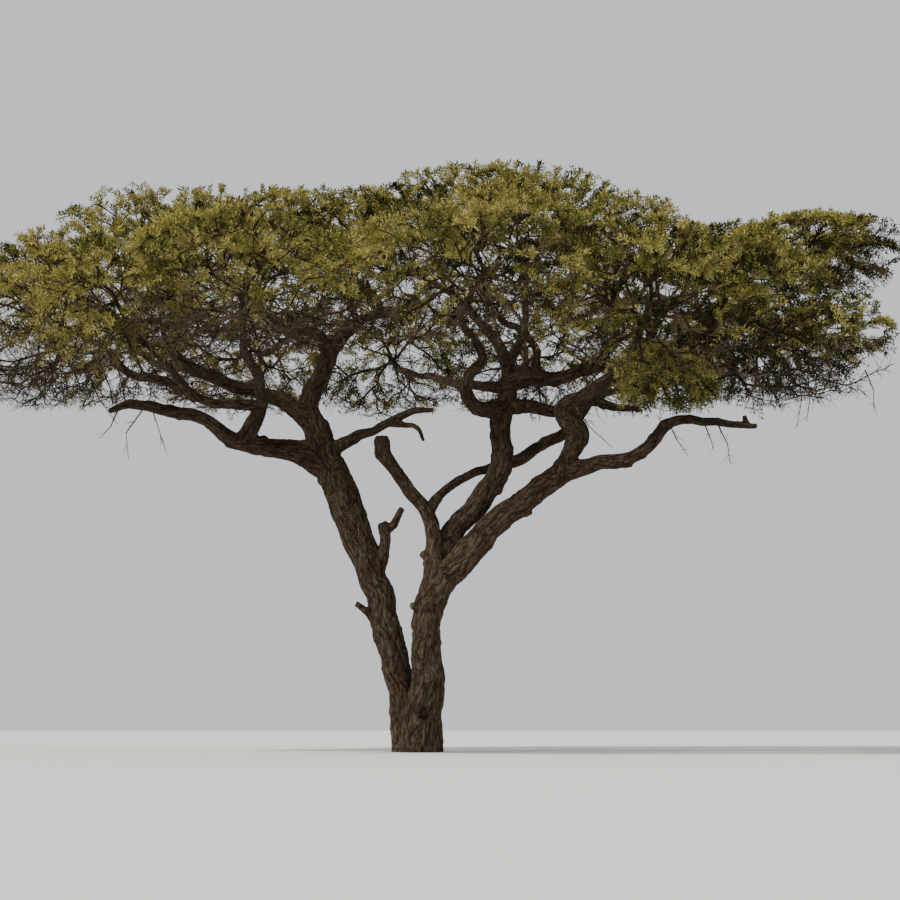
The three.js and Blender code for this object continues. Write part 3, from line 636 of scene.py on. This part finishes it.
def cut_level(mesh):
    """Cuts off what lies under the ground and closes the cut, in the same order each run."""
    shape = bmesh.new()
    shape.from_mesh(mesh)
    near = dict.fromkeys(f for v in shape.verts if v.co.z < NEAR_GROUND for f in v.link_faces)
    if near:
        edges = dict.fromkeys(e for f in near for e in f.edges)
        corners = dict.fromkeys(v for f in near for v in f.verts)
        geometry = [*edges, *near, *corners]
        cut = bmesh.ops.bisect_plane(
            shape, geom=geometry, plane_co=(0, 0, 0), plane_no=(0, 0, 1), clear_inner=True
        )
        rim = [e for e in cut["geom_cut"] if isinstance(e, bmesh.types.BMEdge)]
        bmesh.ops.holes_fill(shape, edges=rim)
    shape.to_mesh(mesh)
    shape.free()


def polygon_object(name, vertices, faces, look, smooth=False):
    """An object of faces that all have as many corners, and the numbers of the vertices it uses."""
    used, corners = np.unique(faces, return_inverse=True)
    count, sides = faces.shape
    mesh = bpy.data.meshes.new(name)
    mesh.vertices.add(len(used))
    mesh.vertices.foreach_set("co", vertices[used].astype(np.float32).ravel())
    mesh.loops.add(count * sides)
    mesh.loops.foreach_set("vertex_index", corners.astype(np.int32).ravel())
    mesh.polygons.add(count)
    mesh.polygons.foreach_set("loop_start", np.arange(count, dtype=np.int32) * sides)
    mesh.update(calc_edges=True)
    mesh.polygons.foreach_set("use_smooth", np.full(count, smooth))
    mesh.materials.append(look)
    return linked(name, mesh), used


def finish_piece(piece, nodes):
    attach(piece, "root")
    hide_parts(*nodes)


def add_pieces(kind, vertices, faces, look, slot, nodes, smooth=False):
    """The faces as one piece, or as more where it would have too many triangles."""
    lots = np.array_split(faces, math.ceil(len(faces) / MOST_TRIANGLES))
    for number, lot in enumerate(lots, 1):
        name = f"{kind}_{number}" if len(lots) > 1 else kind
        made, _ = polygon_object(name, vertices, lot, look, smooth)
        finish_piece(made, nodes)


# The space of a mass: a dome over a flatter base, cut by a plane between it and each neighbour
def make_space(name):
    weight = np.array([1, 1, HEIGHT_WEIGHT**2])

    def space_of(key):
        middle, reach = np.array(MASSES[key][1]), np.array(MASSES[key][2])
        mean = (reach[0] + reach[1] + (reach[2] + reach[3]) / 2 * HEIGHT_WEIGHT) / 3
        return middle, reach, (middle * middle) @ weight - mean**2

    middle, reach, power = space_of(name)
    normals, offsets = [], []
    for key in MASSES:
        if key == name:
            continue
        other, _, other_power = space_of(key)
        normal = (other - middle) * weight * 2
        size = np.linalg.norm(normal)
        normals.append(normal / size)
        offsets.append((power - other_power) / size)
    normals, offsets = np.array(normals), np.array(offsets)

    def holds(points, scale=1.0):
        offset = (points - middle) / scale
        out = np.sum((offset[..., :2] / reach[:2]) ** 2, axis=-1)
        above = offset[..., 2] > 0
        level = offset[..., 2] / np.where(above, reach[2], reach[3])
        within = np.where(above, out, out**2) + level**2 <= 1
        return within & np.all(points @ normals.T + offsets < -WALL_GAP, axis=-1)

    return {"middle": middle, "reach": reach, "holds": holds}


def spread_ends(space, spread, levels, rng):
    """Ends spread evenly over the plan of a space, drawn in until the space holds them.

    The outermost end lies on the side away from the tree's middle."""
    count = len(levels)
    index = np.arange(count)
    out = np.sqrt((index + 0.5) / count) * spread
    away = math.atan2(space["middle"][1], space["middle"][0])
    turn = away + (count - 1 - index) * GOLDEN_ANGLE + rng.random(count) * 0.5
    up, down = space["reach"][2:]
    rise = np.where(levels > 0, levels * up * np.sqrt(1 - out**2), levels * down * np.sqrt(1 - out**4))
    plan = np.stack([np.cos(turn), np.sin(turn)], axis=1) * out[:, None] * space["reach"][:2]
    ends = space["middle"] + np.column_stack([plan, rise])
    for _ in range(DRAW_IN_STEPS):
        outside = ~space["holds"](ends)
        ends[outside] += (space["middle"] - ends[outside]) * DRAW_IN
    return ends[space["holds"](ends)]


class Wood:
    """Wood that grows as ways from the nearest wood already grown to each new end."""

    def __init__(self, foot, direction, heart, rng):
        self.point = [foot - direction * FOOT_INSIDE]
        self.parent = [-1]
        self.path = [0.0]
        self.aim = [direction]
        self.ends = [0]
        self.rng = rng
        self.heart = heart
        self.way(0, heart, direction)

    def way(self, start, end, aim):
        """Adds the nodes of a bowed way from node start to end, and returns their numbers."""
        origin = self.point[start]
        gap = np.linalg.norm(end - origin)
        steps = max(1, round(gap / WAY_STEP))
        control = origin + unit(aim + WAY_LIFT * UP) * gap * WAY_BOW
        numbers = []
        before = start
        for share in (np.arange(steps) + 1) / steps:
            at = (1 - share) ** 2 * origin + 2 * share * (1 - share) * control + share**2 * end
            if share < 1:
                at = at + self.rng.normal(size=3) * WAY_JITTER * gap / steps
            self.aim.append(unit(at - self.point[before]))
            self.path.append(self.path[before] + np.linalg.norm(at - self.point[before]))
            self.point.append(at)
            self.parent.append(before)
            self.ends.append(0)
            before = len(self.point) - 1
            numbers.append(before)
        return numbers

    def grow(self, end):
        points = np.array(self.point)
        cost = np.linalg.norm(points - end, axis=1) + GROWN_WAY_WEIGHT * np.array(self.path)
        cost[0] = 1e9
        start = int(np.argmin(cost))
        numbers = self.way(start, end, self.aim[start])
        self.ends[numbers[-1]] = 1
        return numbers

    def grow_all(self, ends):
        """Ways to all the ends, those nearest to the heart first."""
        order = np.argsort(np.linalg.norm(ends - self.heart, axis=1))
        return [self.grow(end) for end in ends[order]]

    def radii(self, foot_radius):
        """Radii from the number of ends that each node feeds, true to the foot's own radius."""
        fed = np.array(self.ends, float)
        for node in range(len(fed) - 1, 0, -1):
            fed[self.parent[node]] += fed[node]
        power = math.log(foot_radius / TWIG_TIP) / math.log(max(fed[0], 2))
        return TWIG_TIP * np.maximum(fed, 1) ** power, fed


class Store:
    """Arrays of a kind, one for each key, gathered from all masses."""

    def __init__(self, *keys):
        self.lists = {key: [] for key in keys}

    def add(self, *arrays):
        for gathered, values in zip(self.lists.values(), arrays):
            gathered.append(np.asarray(values, float))

    def all(self):
        return {key: np.concatenate(values) for key, values in self.lists.items()}


def add_wood(store, wood, foot_radius, bare_from):
    """The segments of the wood, and whether they are bare."""
    point = np.array(wood.point)
    parent = np.array(wood.parent)
    radius, fed = wood.radii(foot_radius)
    direction = np.array(wood.aim)
    node = np.arange(1, len(point))
    above = parent[node]
    thickest = np.zeros(len(point), int)
    for n in node[np.argsort(fed[node], kind="stable")]:
        thickest[parent[n]] = n
    goes_on = thickest[above] == node
    side_radius = np.minimum(radius[above], radius[node] * SIDE_TWIG_SWELL)
    start_radius = np.where(goes_on, radius[above], side_radius)
    start_direction = np.where(goes_on[:, None], direction[above], direction[node])
    ends = point[above], point[node]
    store.add(*ends, start_direction, direction[node], start_radius, radius[node], node >= bare_from)


def fitted_length(space, root, aim, length, scale):
    """The length, cut back until its end lies in the space at that scale."""
    while length > LEAST_LENGTH and not space["holds"](root + aim * length, scale):
        length -= CUT_BACK
    return length


def add_shoots(store, space, wood, ways, even, rng):
    """Leafy shoots at the end and along both sides of every leafy way, more where it clumps."""
    for numbers in ways:
        end = wood.point[numbers[-1]]
        before = wood.point[wood.parent[numbers[-1]]]
        along = unit(end - before)
        outward = unit((end - space["middle"]) / space["reach"][:3])
        level = (end[2] - space["middle"][2]) / space["reach"][2]
        lift = 0.25 + 0.75 * max(0.0, level)
        clump = EVEN_CLUMP if even else float(noise(end[None] / CLUMP_SIZE)[0])
        for k in range(max(1, round(SHOOTS_PER_END + CLUMP_SHOOTS * clump))):
            turn = (0, 1, -1)[k % 3] * rng.uniform(*SHOOT_TURN)
            cosine, sine = math.cos(turn), math.sin(turn)
            x, y, z = along * (1, 1, 0.5)
            turned = np.array([x * cosine - y * sine, x * sine + y * cosine, z])
            rise = UP * lift * rng.uniform(0.1, 0.8)
            aim = unit(turned * 0.7 + outward * 0.45 + rise + rng.normal(size=3) * 0.2)
            root = end if k == 0 else before + (end - before) * rng.uniform(*SHOOT_ROOT)
            whip = level > WHIP_FROM and rng.random() < WHIP_SHARE
            length = rng.uniform(*(WHIP_LENGTH if whip else SHOOT_LENGTH))
            length = fitted_length(space, root, aim, length, WHIP_SPACE if whip else SHOOT_SPACE)
            store.add([root], [aim], [length], [level], [clump], [rng.random()], [even])


def add_twiglet(store, root, aim, length, radius, rng):
    """A bare twiglet of two crooked segments that runs out to a point."""
    bent = unit(aim + rng.normal(size=3) * 0.4)
    middle = root + aim * length * 0.5
    ends = [root, middle], [middle, middle + bent * length * 0.5]
    thin = radius * TWIGLET_TAPER
    store.add(*ends, [aim, bent], [bent, bent], [radius, thin], [thin, 0], [1, 1])


def add_twiglets(store, space, wood, ways, each, rng):
    """Bare twiglets along ways that have grown."""
    for numbers in ways:
        for _ in range(each):
            node = numbers[rng.integers(len(numbers))]
            before = wood.point[wood.parent[node]]
            root = before + (wood.point[node] - before) * rng.random()
            aim = unit(wood.aim[node] * 0.6 + rng.normal(size=3) * (0.6, 0.6, 0.4) - UP * 0.15)
            length = fitted_length(space, root, aim, rng.uniform(*TWIGLET_LENGTH), TWIGLET_SPACE)
            add_twiglet(store, root, aim, length, FINE_TWIG, rng)


def add_sprouts(store, limbs, rng):
    """Short twigs along the boughs inside the crown."""
    for rings in limbs.values():
        for at in np.arange(SPROUT_SPACING, rings["length"][-1], SPROUT_SPACING):
            ring = int(np.searchsorted(rings["length"], at))
            if rings["point"][ring, 2] < SPROUTS_FROM:
                continue
            turn = rng.uniform(0, 2 * math.pi)
            out = rings["side"][ring] * math.cos(turn) + rings["depth"][ring] * math.sin(turn)
            root = rings["point"][ring] + out * rings["radius"][ring] * 0.8
            aim = unit(out + rings["direction"][ring] * rng.uniform(0.2, 1.0))
            length = rng.uniform(*SPROUT_LENGTH)
            add_twiglet(store, root, aim, length, FINE_TWIG * 1.5, rng)
            side_aim = unit(aim + rng.normal(size=3) * 0.6)
            add_twiglet(store, root + aim * length * 0.3, side_aim, length * 0.6, FINE_TWIG, rng)


def add_hanging(store, rng):
    """The dead twigs that hang, with twiglets along them."""
    radii = np.array([FINE_TWIG * 2.4, FINE_TWIG * 1.7, FINE_TWIG])
    for bends in HANGING:
        points = np.array(bends)
        steps = np.diff(points, axis=0)
        aims = unit(steps)
        store.add(points[:-1], points[1:], [aims[0], aims[0]], aims, radii[:-1], radii[1:], [1, 1])
        for _ in range(TWIGLETS_PER_HANGING):
            k = rng.integers(2)
            root = points[k] + steps[k] * rng.uniform(0.2, 1)
            aim = unit(aims[k] + rng.normal(size=3) * 0.7)
            add_twiglet(store, root, aim, rng.uniform(*HANGING_TWIGLET_LENGTH), FINE_TWIG, rng)


def shoot_point(shoots, share):
    """A point along each shoot, which arches under its own weight."""
    way = (shoots["length"] * share)[:, None]
    return shoots["root"] + shoots["aim"] * way - UP * (way * share[:, None]) * SHOOT_SAG


def add_shoot_segments(store, shoots):
    """Each shoot as two segments."""
    count = len(shoots["length"])
    bends = [shoot_point(shoots, np.full(count, share)) for share in (0, 0.5, 1)]
    radii = [np.full(count, SHOOT_RADIUS * share) for share in (1, 0.75, 0)]
    for k in (0, 1):
        direction = unit(bends[k + 1] - bends[k])
        store.add(bends[k], bends[k + 1], direction, direction, radii[k], radii[k + 1], np.zeros(count))


def grow_masses(limbs):
    """The segments of all twigs, and the leafy shoots."""
    segments = Store(
        "start", "end", "start_direction", "end_direction", "start_radius", "end_radius", "bare"
    )
    shoots = Store("root", "aim", "length", "level", "clump", "random", "even")
    for number, (name, (carrier, _, _, leafy_from)) in enumerate(MASSES.items()):
        rng = np.random.default_rng(SEED + number)
        space = make_space(name)
        foot, direction, foot_radius = (limbs[carrier][key][-1] for key in ("point", "direction", "radius"))
        heart = foot + (space["middle"] - foot) * HEART_SHARE
        wood = Wood(foot, direction, heart, rng)
        area = math.pi * space["reach"][0] * space["reach"][1]
        leafy_share, bare_share, rise = GROWTH.get(name, USUAL_GROWTH)
        bare_to = leafy_from + BARE_OVERLAP
        leafy_count = round(area * ENDS_PER_AREA * (LEAFY_TOP - leafy_from) * leafy_share)
        bare_count = round(area * BARE_ENDS_PER_AREA * (bare_to - BARE_BOTTOM) * bare_share)
        heights = leafy_from + (LEAFY_TOP - leafy_from) * rng.random(leafy_count) ** rise
        leafy = spread_ends(space, LEAFY_SPREAD, heights, rng)
        lows = rng.uniform(BARE_BOTTOM, bare_to, bare_count)
        bare = spread_ends(space, BARE_SPREAD, lows, rng)
        leafy_ways = wood.grow_all(leafy)
        bare_from = len(wood.point)
        bare_ways = wood.grow_all(bare)
        add_wood(segments, wood, foot_radius, bare_from)
        add_shoots(shoots, space, wood, leafy_ways, leafy_share > EVEN_FROM, rng)
        add_twiglets(segments, space, wood, bare_ways, TWIGLETS_PER_BARE_END, rng)
        add_twiglets(segments, space, wood, leafy_ways, TWIGLETS_PER_LEAFY_END, rng)
    rng = np.random.default_rng(SEED + 300)
    add_sprouts(segments, limbs, rng)
    add_hanging(segments, rng)
    shoots = shoots.all()
    add_shoot_segments(segments, shoots)
    return segments.all(), shoots


def across_of(direction):
    """Two directions across each direction."""
    side = unit(np.cross(direction, ACROSS_TWIGS))
    return side, np.cross(direction, side)


def end_rings(part, end, sides):
    """The corners of a ring at the start or the end of each segment."""
    return ring_corners(part[end], *across_of(part[end + "_direction"]), part[end + "_radius"], sides)


def repeated(faces, count, step):
    """The faces of one shape for as many, each a step of vertices after the one before."""
    return (faces[None] + (np.arange(count) * step)[:, None, None]).reshape(-1, 3)


def prisms(part, sides):
    """Open prisms from ring to ring, as vertices and three-cornered faces."""
    rings = [end_rings(part, end, sides) for end in ("start", "end")]
    vertices = np.stack(rings, axis=1).reshape(-1, 3)
    k = np.arange(sides)
    after = (k + 1) % sides
    lower = np.stack([k, after, after + sides], axis=1)
    upper = np.stack([k, after + sides, k + sides], axis=1)
    return vertices, repeated(np.concatenate([lower, upper]), len(part["start"]), 2 * sides)


def spikes(part):
    """Segments that run out to a point, as vertices and three-cornered faces."""
    ring = end_rings(part, "start", 3)
    vertices = np.concatenate([ring, part["end"][:, None]], axis=1).reshape(-1, 3)
    return vertices, repeated(np.array([[0, 1, 3], [1, 2, 3], [2, 0, 3]]), len(ring), 4)


def merged(parts):
    vertices, faces, offset = [], [], 0
    for points, corners in parts:
        vertices.append(points)
        faces.append(corners + offset)
        offset += len(points)
    return np.vstack(vertices), np.vstack(faces)


def picked(arrays, mask):
    return {key: values[mask] for key, values in arrays.items()}


def make_twigs(segments, looks, nodes):
    for kind, bare in (("twigs_leafy", 0), ("twigs_bare", 1)):
        part = picked(segments, segments["bare"] == bare)
        pointed = part["end_radius"] == 0
        shapes = [spikes(picked(part, pointed))]
        for least, most, sides in TWIG_SIDES:
            mask = (part["start_radius"] >= least) & (part["start_radius"] < most) & ~pointed
            if mask.any():
                shapes.append(prisms(picked(part, mask), sides))
        add_pieces(kind, *merged(shapes), looks[kind], "bark", nodes, smooth=True)


def tufts_of(shoots, rng):
    """Sprays of a few leaves along the shoots: where each starts, its aim, and where it is."""
    tufts = np.maximum(1, np.round(shoots["length"] / TUFT_SPACING)).astype(int)
    owner = np.repeat(np.arange(len(tufts)), tufts)
    rank = np.arange(len(owner)) - np.repeat(np.cumsum(tufts) - tufts, tufts)
    each = picked(shoots, owner)
    each["centre"] = shoot_point(each, (rank + 0.75) / tufts[owner])
    each["chance"] = rng.random(len(owner))
    return each


def leaf_colours(tufts):
    """Which colour each spray takes: painted light and shade by its height in its mass, by clumps and by its
    side towards or away from the sun, and tone by chance.
    """
    away_from_sun = np.clip((tufts["root"][:, 0] - SHADE_FROM) / SHADE_WIDTH, -1.3, 1)
    value = LIGHT_AND_SHADE_OF_HEIGHT * tufts["level"] + TONE_OF_CLUMP * tufts["clump"] + TONE_OF_EVEN * tufts["even"]
    value -= TONE_OF_SUN * away_from_sun * (1.25 - tufts["level"])
    value += TONE_OF_SHOOT * (tufts["random"] - 0.5) + TONE_OF_SPRAY * (tufts["chance"] - 0.5)
    brown = noise(tufts["root"] / DRY_PATCH_SIZE + 51) - 0.35 * tufts["level"]
    in_patch = (brown > DRY_PATCH_FROM) & (tufts["random"] > DRY_IN_PATCH)
    dry = in_patch | (tufts["random"] > DRY_ANYWHERE)
    return np.where(dry & (tufts["even"] == 0), DRY_COLOUR, np.digitize(value, TONE_STEPS))


def leaves_of(tufts, rng):
    """The folded leaves of sprays, as vertices and faces."""
    owner = np.repeat(np.arange(len(tufts["centre"])), LEAVES_PER_TUFT)
    count = len(owner)
    aim = tufts["aim"][owner]
    side, depth = across_of(aim)
    turn = np.arange(count) * GOLDEN_ANGLE + rng.uniform(-LEAF_TURN, LEAF_TURN, count)
    radial = side * np.cos(turn)[:, None] + depth * np.sin(turn)[:, None]
    forward = rng.uniform(*LEAF_FORWARD, count)[:, None]
    direction = unit(radial * LEAF_SPREAD + aim * forward + UP * LEAF_LIFT)
    face = UP + rng.normal(size=(count, 3)) * LEAF_TILT
    across = unit(np.cross(direction, face))
    normal = np.cross(across, direction)
    length = rng.uniform(*LEAF_LENGTH, count)[:, None]
    base = tufts["centre"][owner] + radial * LEAF_STALK
    half = across * length * LEAF_WIDTH / 2
    middle = base + direction * length * LEAF_MIDDLE + normal * length * LEAF_FOLD / 2
    tip = base + direction * length - normal * length * LEAF_DROOP
    vertices = np.stack([base, middle + half, tip, middle - half], axis=1).reshape(-1, 3)
    return vertices, repeated(np.array([[0, 1, 2], [0, 2, 3]]), count, 4)


def make_leaves(shoots, looks, nodes):
    rng = np.random.default_rng(SEED + 500)
    tufts = tufts_of(shoots, rng)
    colours = leaf_colours(tufts)
    for number, (kind, look) in enumerate(looks.items()):
        vertices, faces = leaves_of(picked(tufts, colours == number), rng)
        add_pieces(kind, vertices, faces, look, "foliage", nodes)


# Finishes
def new_material(name, roughness, specular=0.5):
    look = bpy.data.materials.new(name)
    look.use_nodes = True
    shader = look.node_tree.nodes["Principled BSDF"]
    shader.inputs["Roughness"].default_value = roughness
    shader.inputs["Specular IOR Level"].default_value = specular
    return look, look.node_tree, shader


def add_node(tree, kind, inputs=(), **settings):
    node = tree.nodes.new("ShaderNode" + kind)
    for key, value in settings.items():
        setattr(node, key, value)
    for key, value in dict(inputs).items():
        if isinstance(value, bpy.types.NodeSocket):
            tree.links.new(value, node.inputs[key])
        else:
            node.inputs[key].default_value = value
    return node


def maths(tree, operation, *values):
    return add_node(tree, "Math", enumerate(values), operation=operation).outputs[0]


def colour_ramp(tree, factor, stops):
    ramp = add_node(tree, "ValToRGB", {"Fac": factor})
    elements = ramp.color_ramp.elements
    while len(elements) < len(stops):
        elements.new(0.5)
    for element, (position, colour) in zip(elements, stops):
        element.position = position
        element.color = (*colour, 1)
    return ramp.outputs["Color"]


def multiplied(tree, first, second):
    """Two colours multiplied."""
    mix = add_node(tree, "Mix", {"Factor": 1.0}, data_type="RGBA", blend_type="MULTIPLY")
    tree.links.new(first, mix.inputs[6])
    tree.links.new(second, mix.inputs[7])
    return mix.outputs[2]


def grain_noise(tree, grain, across, along, **inputs):
    """Noise drawn out along the grain, with its size across and along it in metres."""
    scale = (1 / across, 1 / across, 1 / along)
    place = add_node(tree, "Mapping", {"Vector": grain, "Scale": scale}).outputs["Vector"]
    return add_node(tree, "TexNoise", {"Vector": place, "Scale": 1.0, **inputs}).outputs["Fac"]


def bark_look():
    """Bark: fibres, cracks along the grain and lichen patches over the relief of the mesh, with painted
    shade that darkens it up in the crown.
    """
    look, tree, shader = new_material("bark", 0.93, specular=0.2)
    grain = add_node(tree, "Attribute", attribute_name="grain").outputs["Vector"]
    height = add_node(tree, "Attribute", attribute_name="height").outputs["Fac"]
    place = add_node(tree, "TexCoord").outputs["Object"]
    fibres = grain_noise(tree, grain, 0.017, 0.07, Detail=6.0, Roughness=0.65)
    cracks = grain_noise(tree, grain, 0.05, 0.24, Detail=3.0, Roughness=0.6, Distortion=0.5)
    ridge = maths(tree, "ABSOLUTE", maths(tree, "SUBTRACT", cracks, 0.5))
    patches = add_node(
        tree, "TexNoise", {"Vector": place, "Scale": 4.5, "Detail": 5.0, "Roughness": 0.65}
    ).outputs["Fac"]
    plate = colour_ramp(
        tree, fibres, [(0.3, (0.04, 0.03, 0.021)), (0.55, (0.1, 0.074, 0.052)), (0.75, (0.21, 0.17, 0.128))]
    )
    tone = colour_ramp(
        tree, patches, [(0.35, (0.88, 0.66, 0.5)), (0.5, (0.92, 0.88, 0.8)), (0.65, (0.95, 1.05, 0.92))]
    )
    crack = colour_ramp(tree, ridge, [(0.0, (0.24, 0.2, 0.18)), (0.05, (1, 1, 1))])
    deep = colour_ramp(tree, height, [(0.05, (0.36, 0.31, 0.28)), (0.6, (1, 1, 1))])
    # Painted shade: the bark darkens with height, as if shaded by the crown above it.
    up = add_node(tree, "SeparateXYZ", {"Vector": place}).outputs["Z"]
    rise = maths(tree, "DIVIDE", up, 10.0)
    crown_shade = colour_ramp(tree, rise, [(0.3, (1, 1, 1)), (0.46, (0.62, 0.58, 0.54))])
    shade = multiplied(tree, crack, deep)
    toned = multiplied(tree, multiplied(tree, plate, tone), crown_shade)
    tree.links.new(multiplied(tree, toned, shade), shader.inputs["Base Color"])
    relief = add_node(tree, "Bump", {"Height": shade, "Strength": 0.7, "Distance": 0.02})
    bump = add_node(
        tree, "Bump",
        {"Height": fibres, "Strength": 0.6, "Distance": 0.01, "Normal": relief.outputs["Normal"]},
    )
    tree.links.new(bump.outputs["Normal"], shader.inputs["Normal"])
    return look


def mottled_look(name, dark, light, scale, roughness):
    """A finish between two close tones, mottled over the object."""
    look, tree, shader = new_material(name, roughness, specular=0.03)
    place = add_node(tree, "TexCoord").outputs["Object"]
    mottle = add_node(tree, "TexNoise", {"Vector": place, "Scale": scale, "Detail": 2.0}).outputs["Fac"]
    colour = colour_ramp(tree, mottle, [(0.35, dark), (0.65, light)])
    tree.links.new(colour, shader.inputs["Base Color"])
    return look


def leaf_looks():
    # The four greens are lit and shaded copies of one leaf colour: the darkest is painted shade, darker than
    # a leaf's own colour, and the brightest is painted light.
    tones = {
        "leaves_deep_shade": ((0.009, 0.010, 0.002), (0.019, 0.019, 0.004)),
        "leaves_green": ((0.068, 0.074, 0.017), (0.098, 0.103, 0.027)),
        "leaves_olive": ((0.160, 0.152, 0.039), (0.218, 0.202, 0.056)),
        "leaves_sunlit": ((0.275, 0.247, 0.069), (0.360, 0.317, 0.100)),
        "leaves_dry": ((0.100, 0.074, 0.032), (0.150, 0.112, 0.050)),
    }
    return {name: mottled_look(name, *tone, 9.0, 0.62) for name, tone in tones.items()}


# Stage and camera
CAMERA_TILT = 7.9


def make_stage():
    bpy.ops.mesh.primitive_plane_add(size=400, location=(0, 0, -0.002))
    floor = bpy.context.object
    floor.name = "floor"
    look, tree, shader = new_material("pale_floor", 0.9)
    shader.inputs["Base Color"].default_value = (0.55, 0.54, 0.52, 1)
    floor.data.materials.append(look)

    world = bpy.data.worlds.new("pale_studio")
    bpy.context.scene.world = world
    world.use_nodes = True
    background = world.node_tree.nodes["Background"]
    background.inputs["Color"].default_value = (0.83, 0.85, 0.88, 1)
    background.inputs["Strength"].default_value = 0.9

    light = bpy.data.lights.new("key", "SUN")
    light.energy = 6.0
    light.angle = math.radians(10)
    light.color = (1.0, 0.96, 0.88)
    towards_sun = Vector((-0.8, -0.5, 0.95))
    linked("key", light).rotation_euler = towards_sun.to_track_quat("Z", "Y").to_euler()


def make_camera():
    lens = bpy.data.cameras.new("camera")
    lens.sensor_width = 36
    lens.lens = 80
    lens.clip_end = 1000
    camera = linked("camera", lens)
    camera.location = (0.445, -30, 0.36)
    camera.rotation_euler = (math.radians(90 + CAMERA_TILT), 0, 0)
    bpy.context.scene.camera = camera


def main():
    make_camera()
    make_stage()
    limbs = make_limbs()
    make_bark(limbs, bark_look())
    segments, shoots = grow_masses(limbs)
    foliage = ["foliage_" + name for name in MASSES]
    # The twigs' browns: their own dark brown, darkened further as painted shade of the crown, and the leafy
    # twigs inside the foliage the most.
    twig_looks = {
        "twigs_leafy": mottled_look("twigs_leafy", (0.012, 0.008, 0.005), (0.058, 0.040, 0.025), 12.0, 0.85),
        "twigs_bare": mottled_look("twigs_bare", (0.010, 0.007, 0.004), (0.105, 0.078, 0.055), 5.0, 0.85),
    }
    make_twigs(segments, twig_looks, foliage)
    make_leaves(shoots, leaf_looks(), foliage)


main()
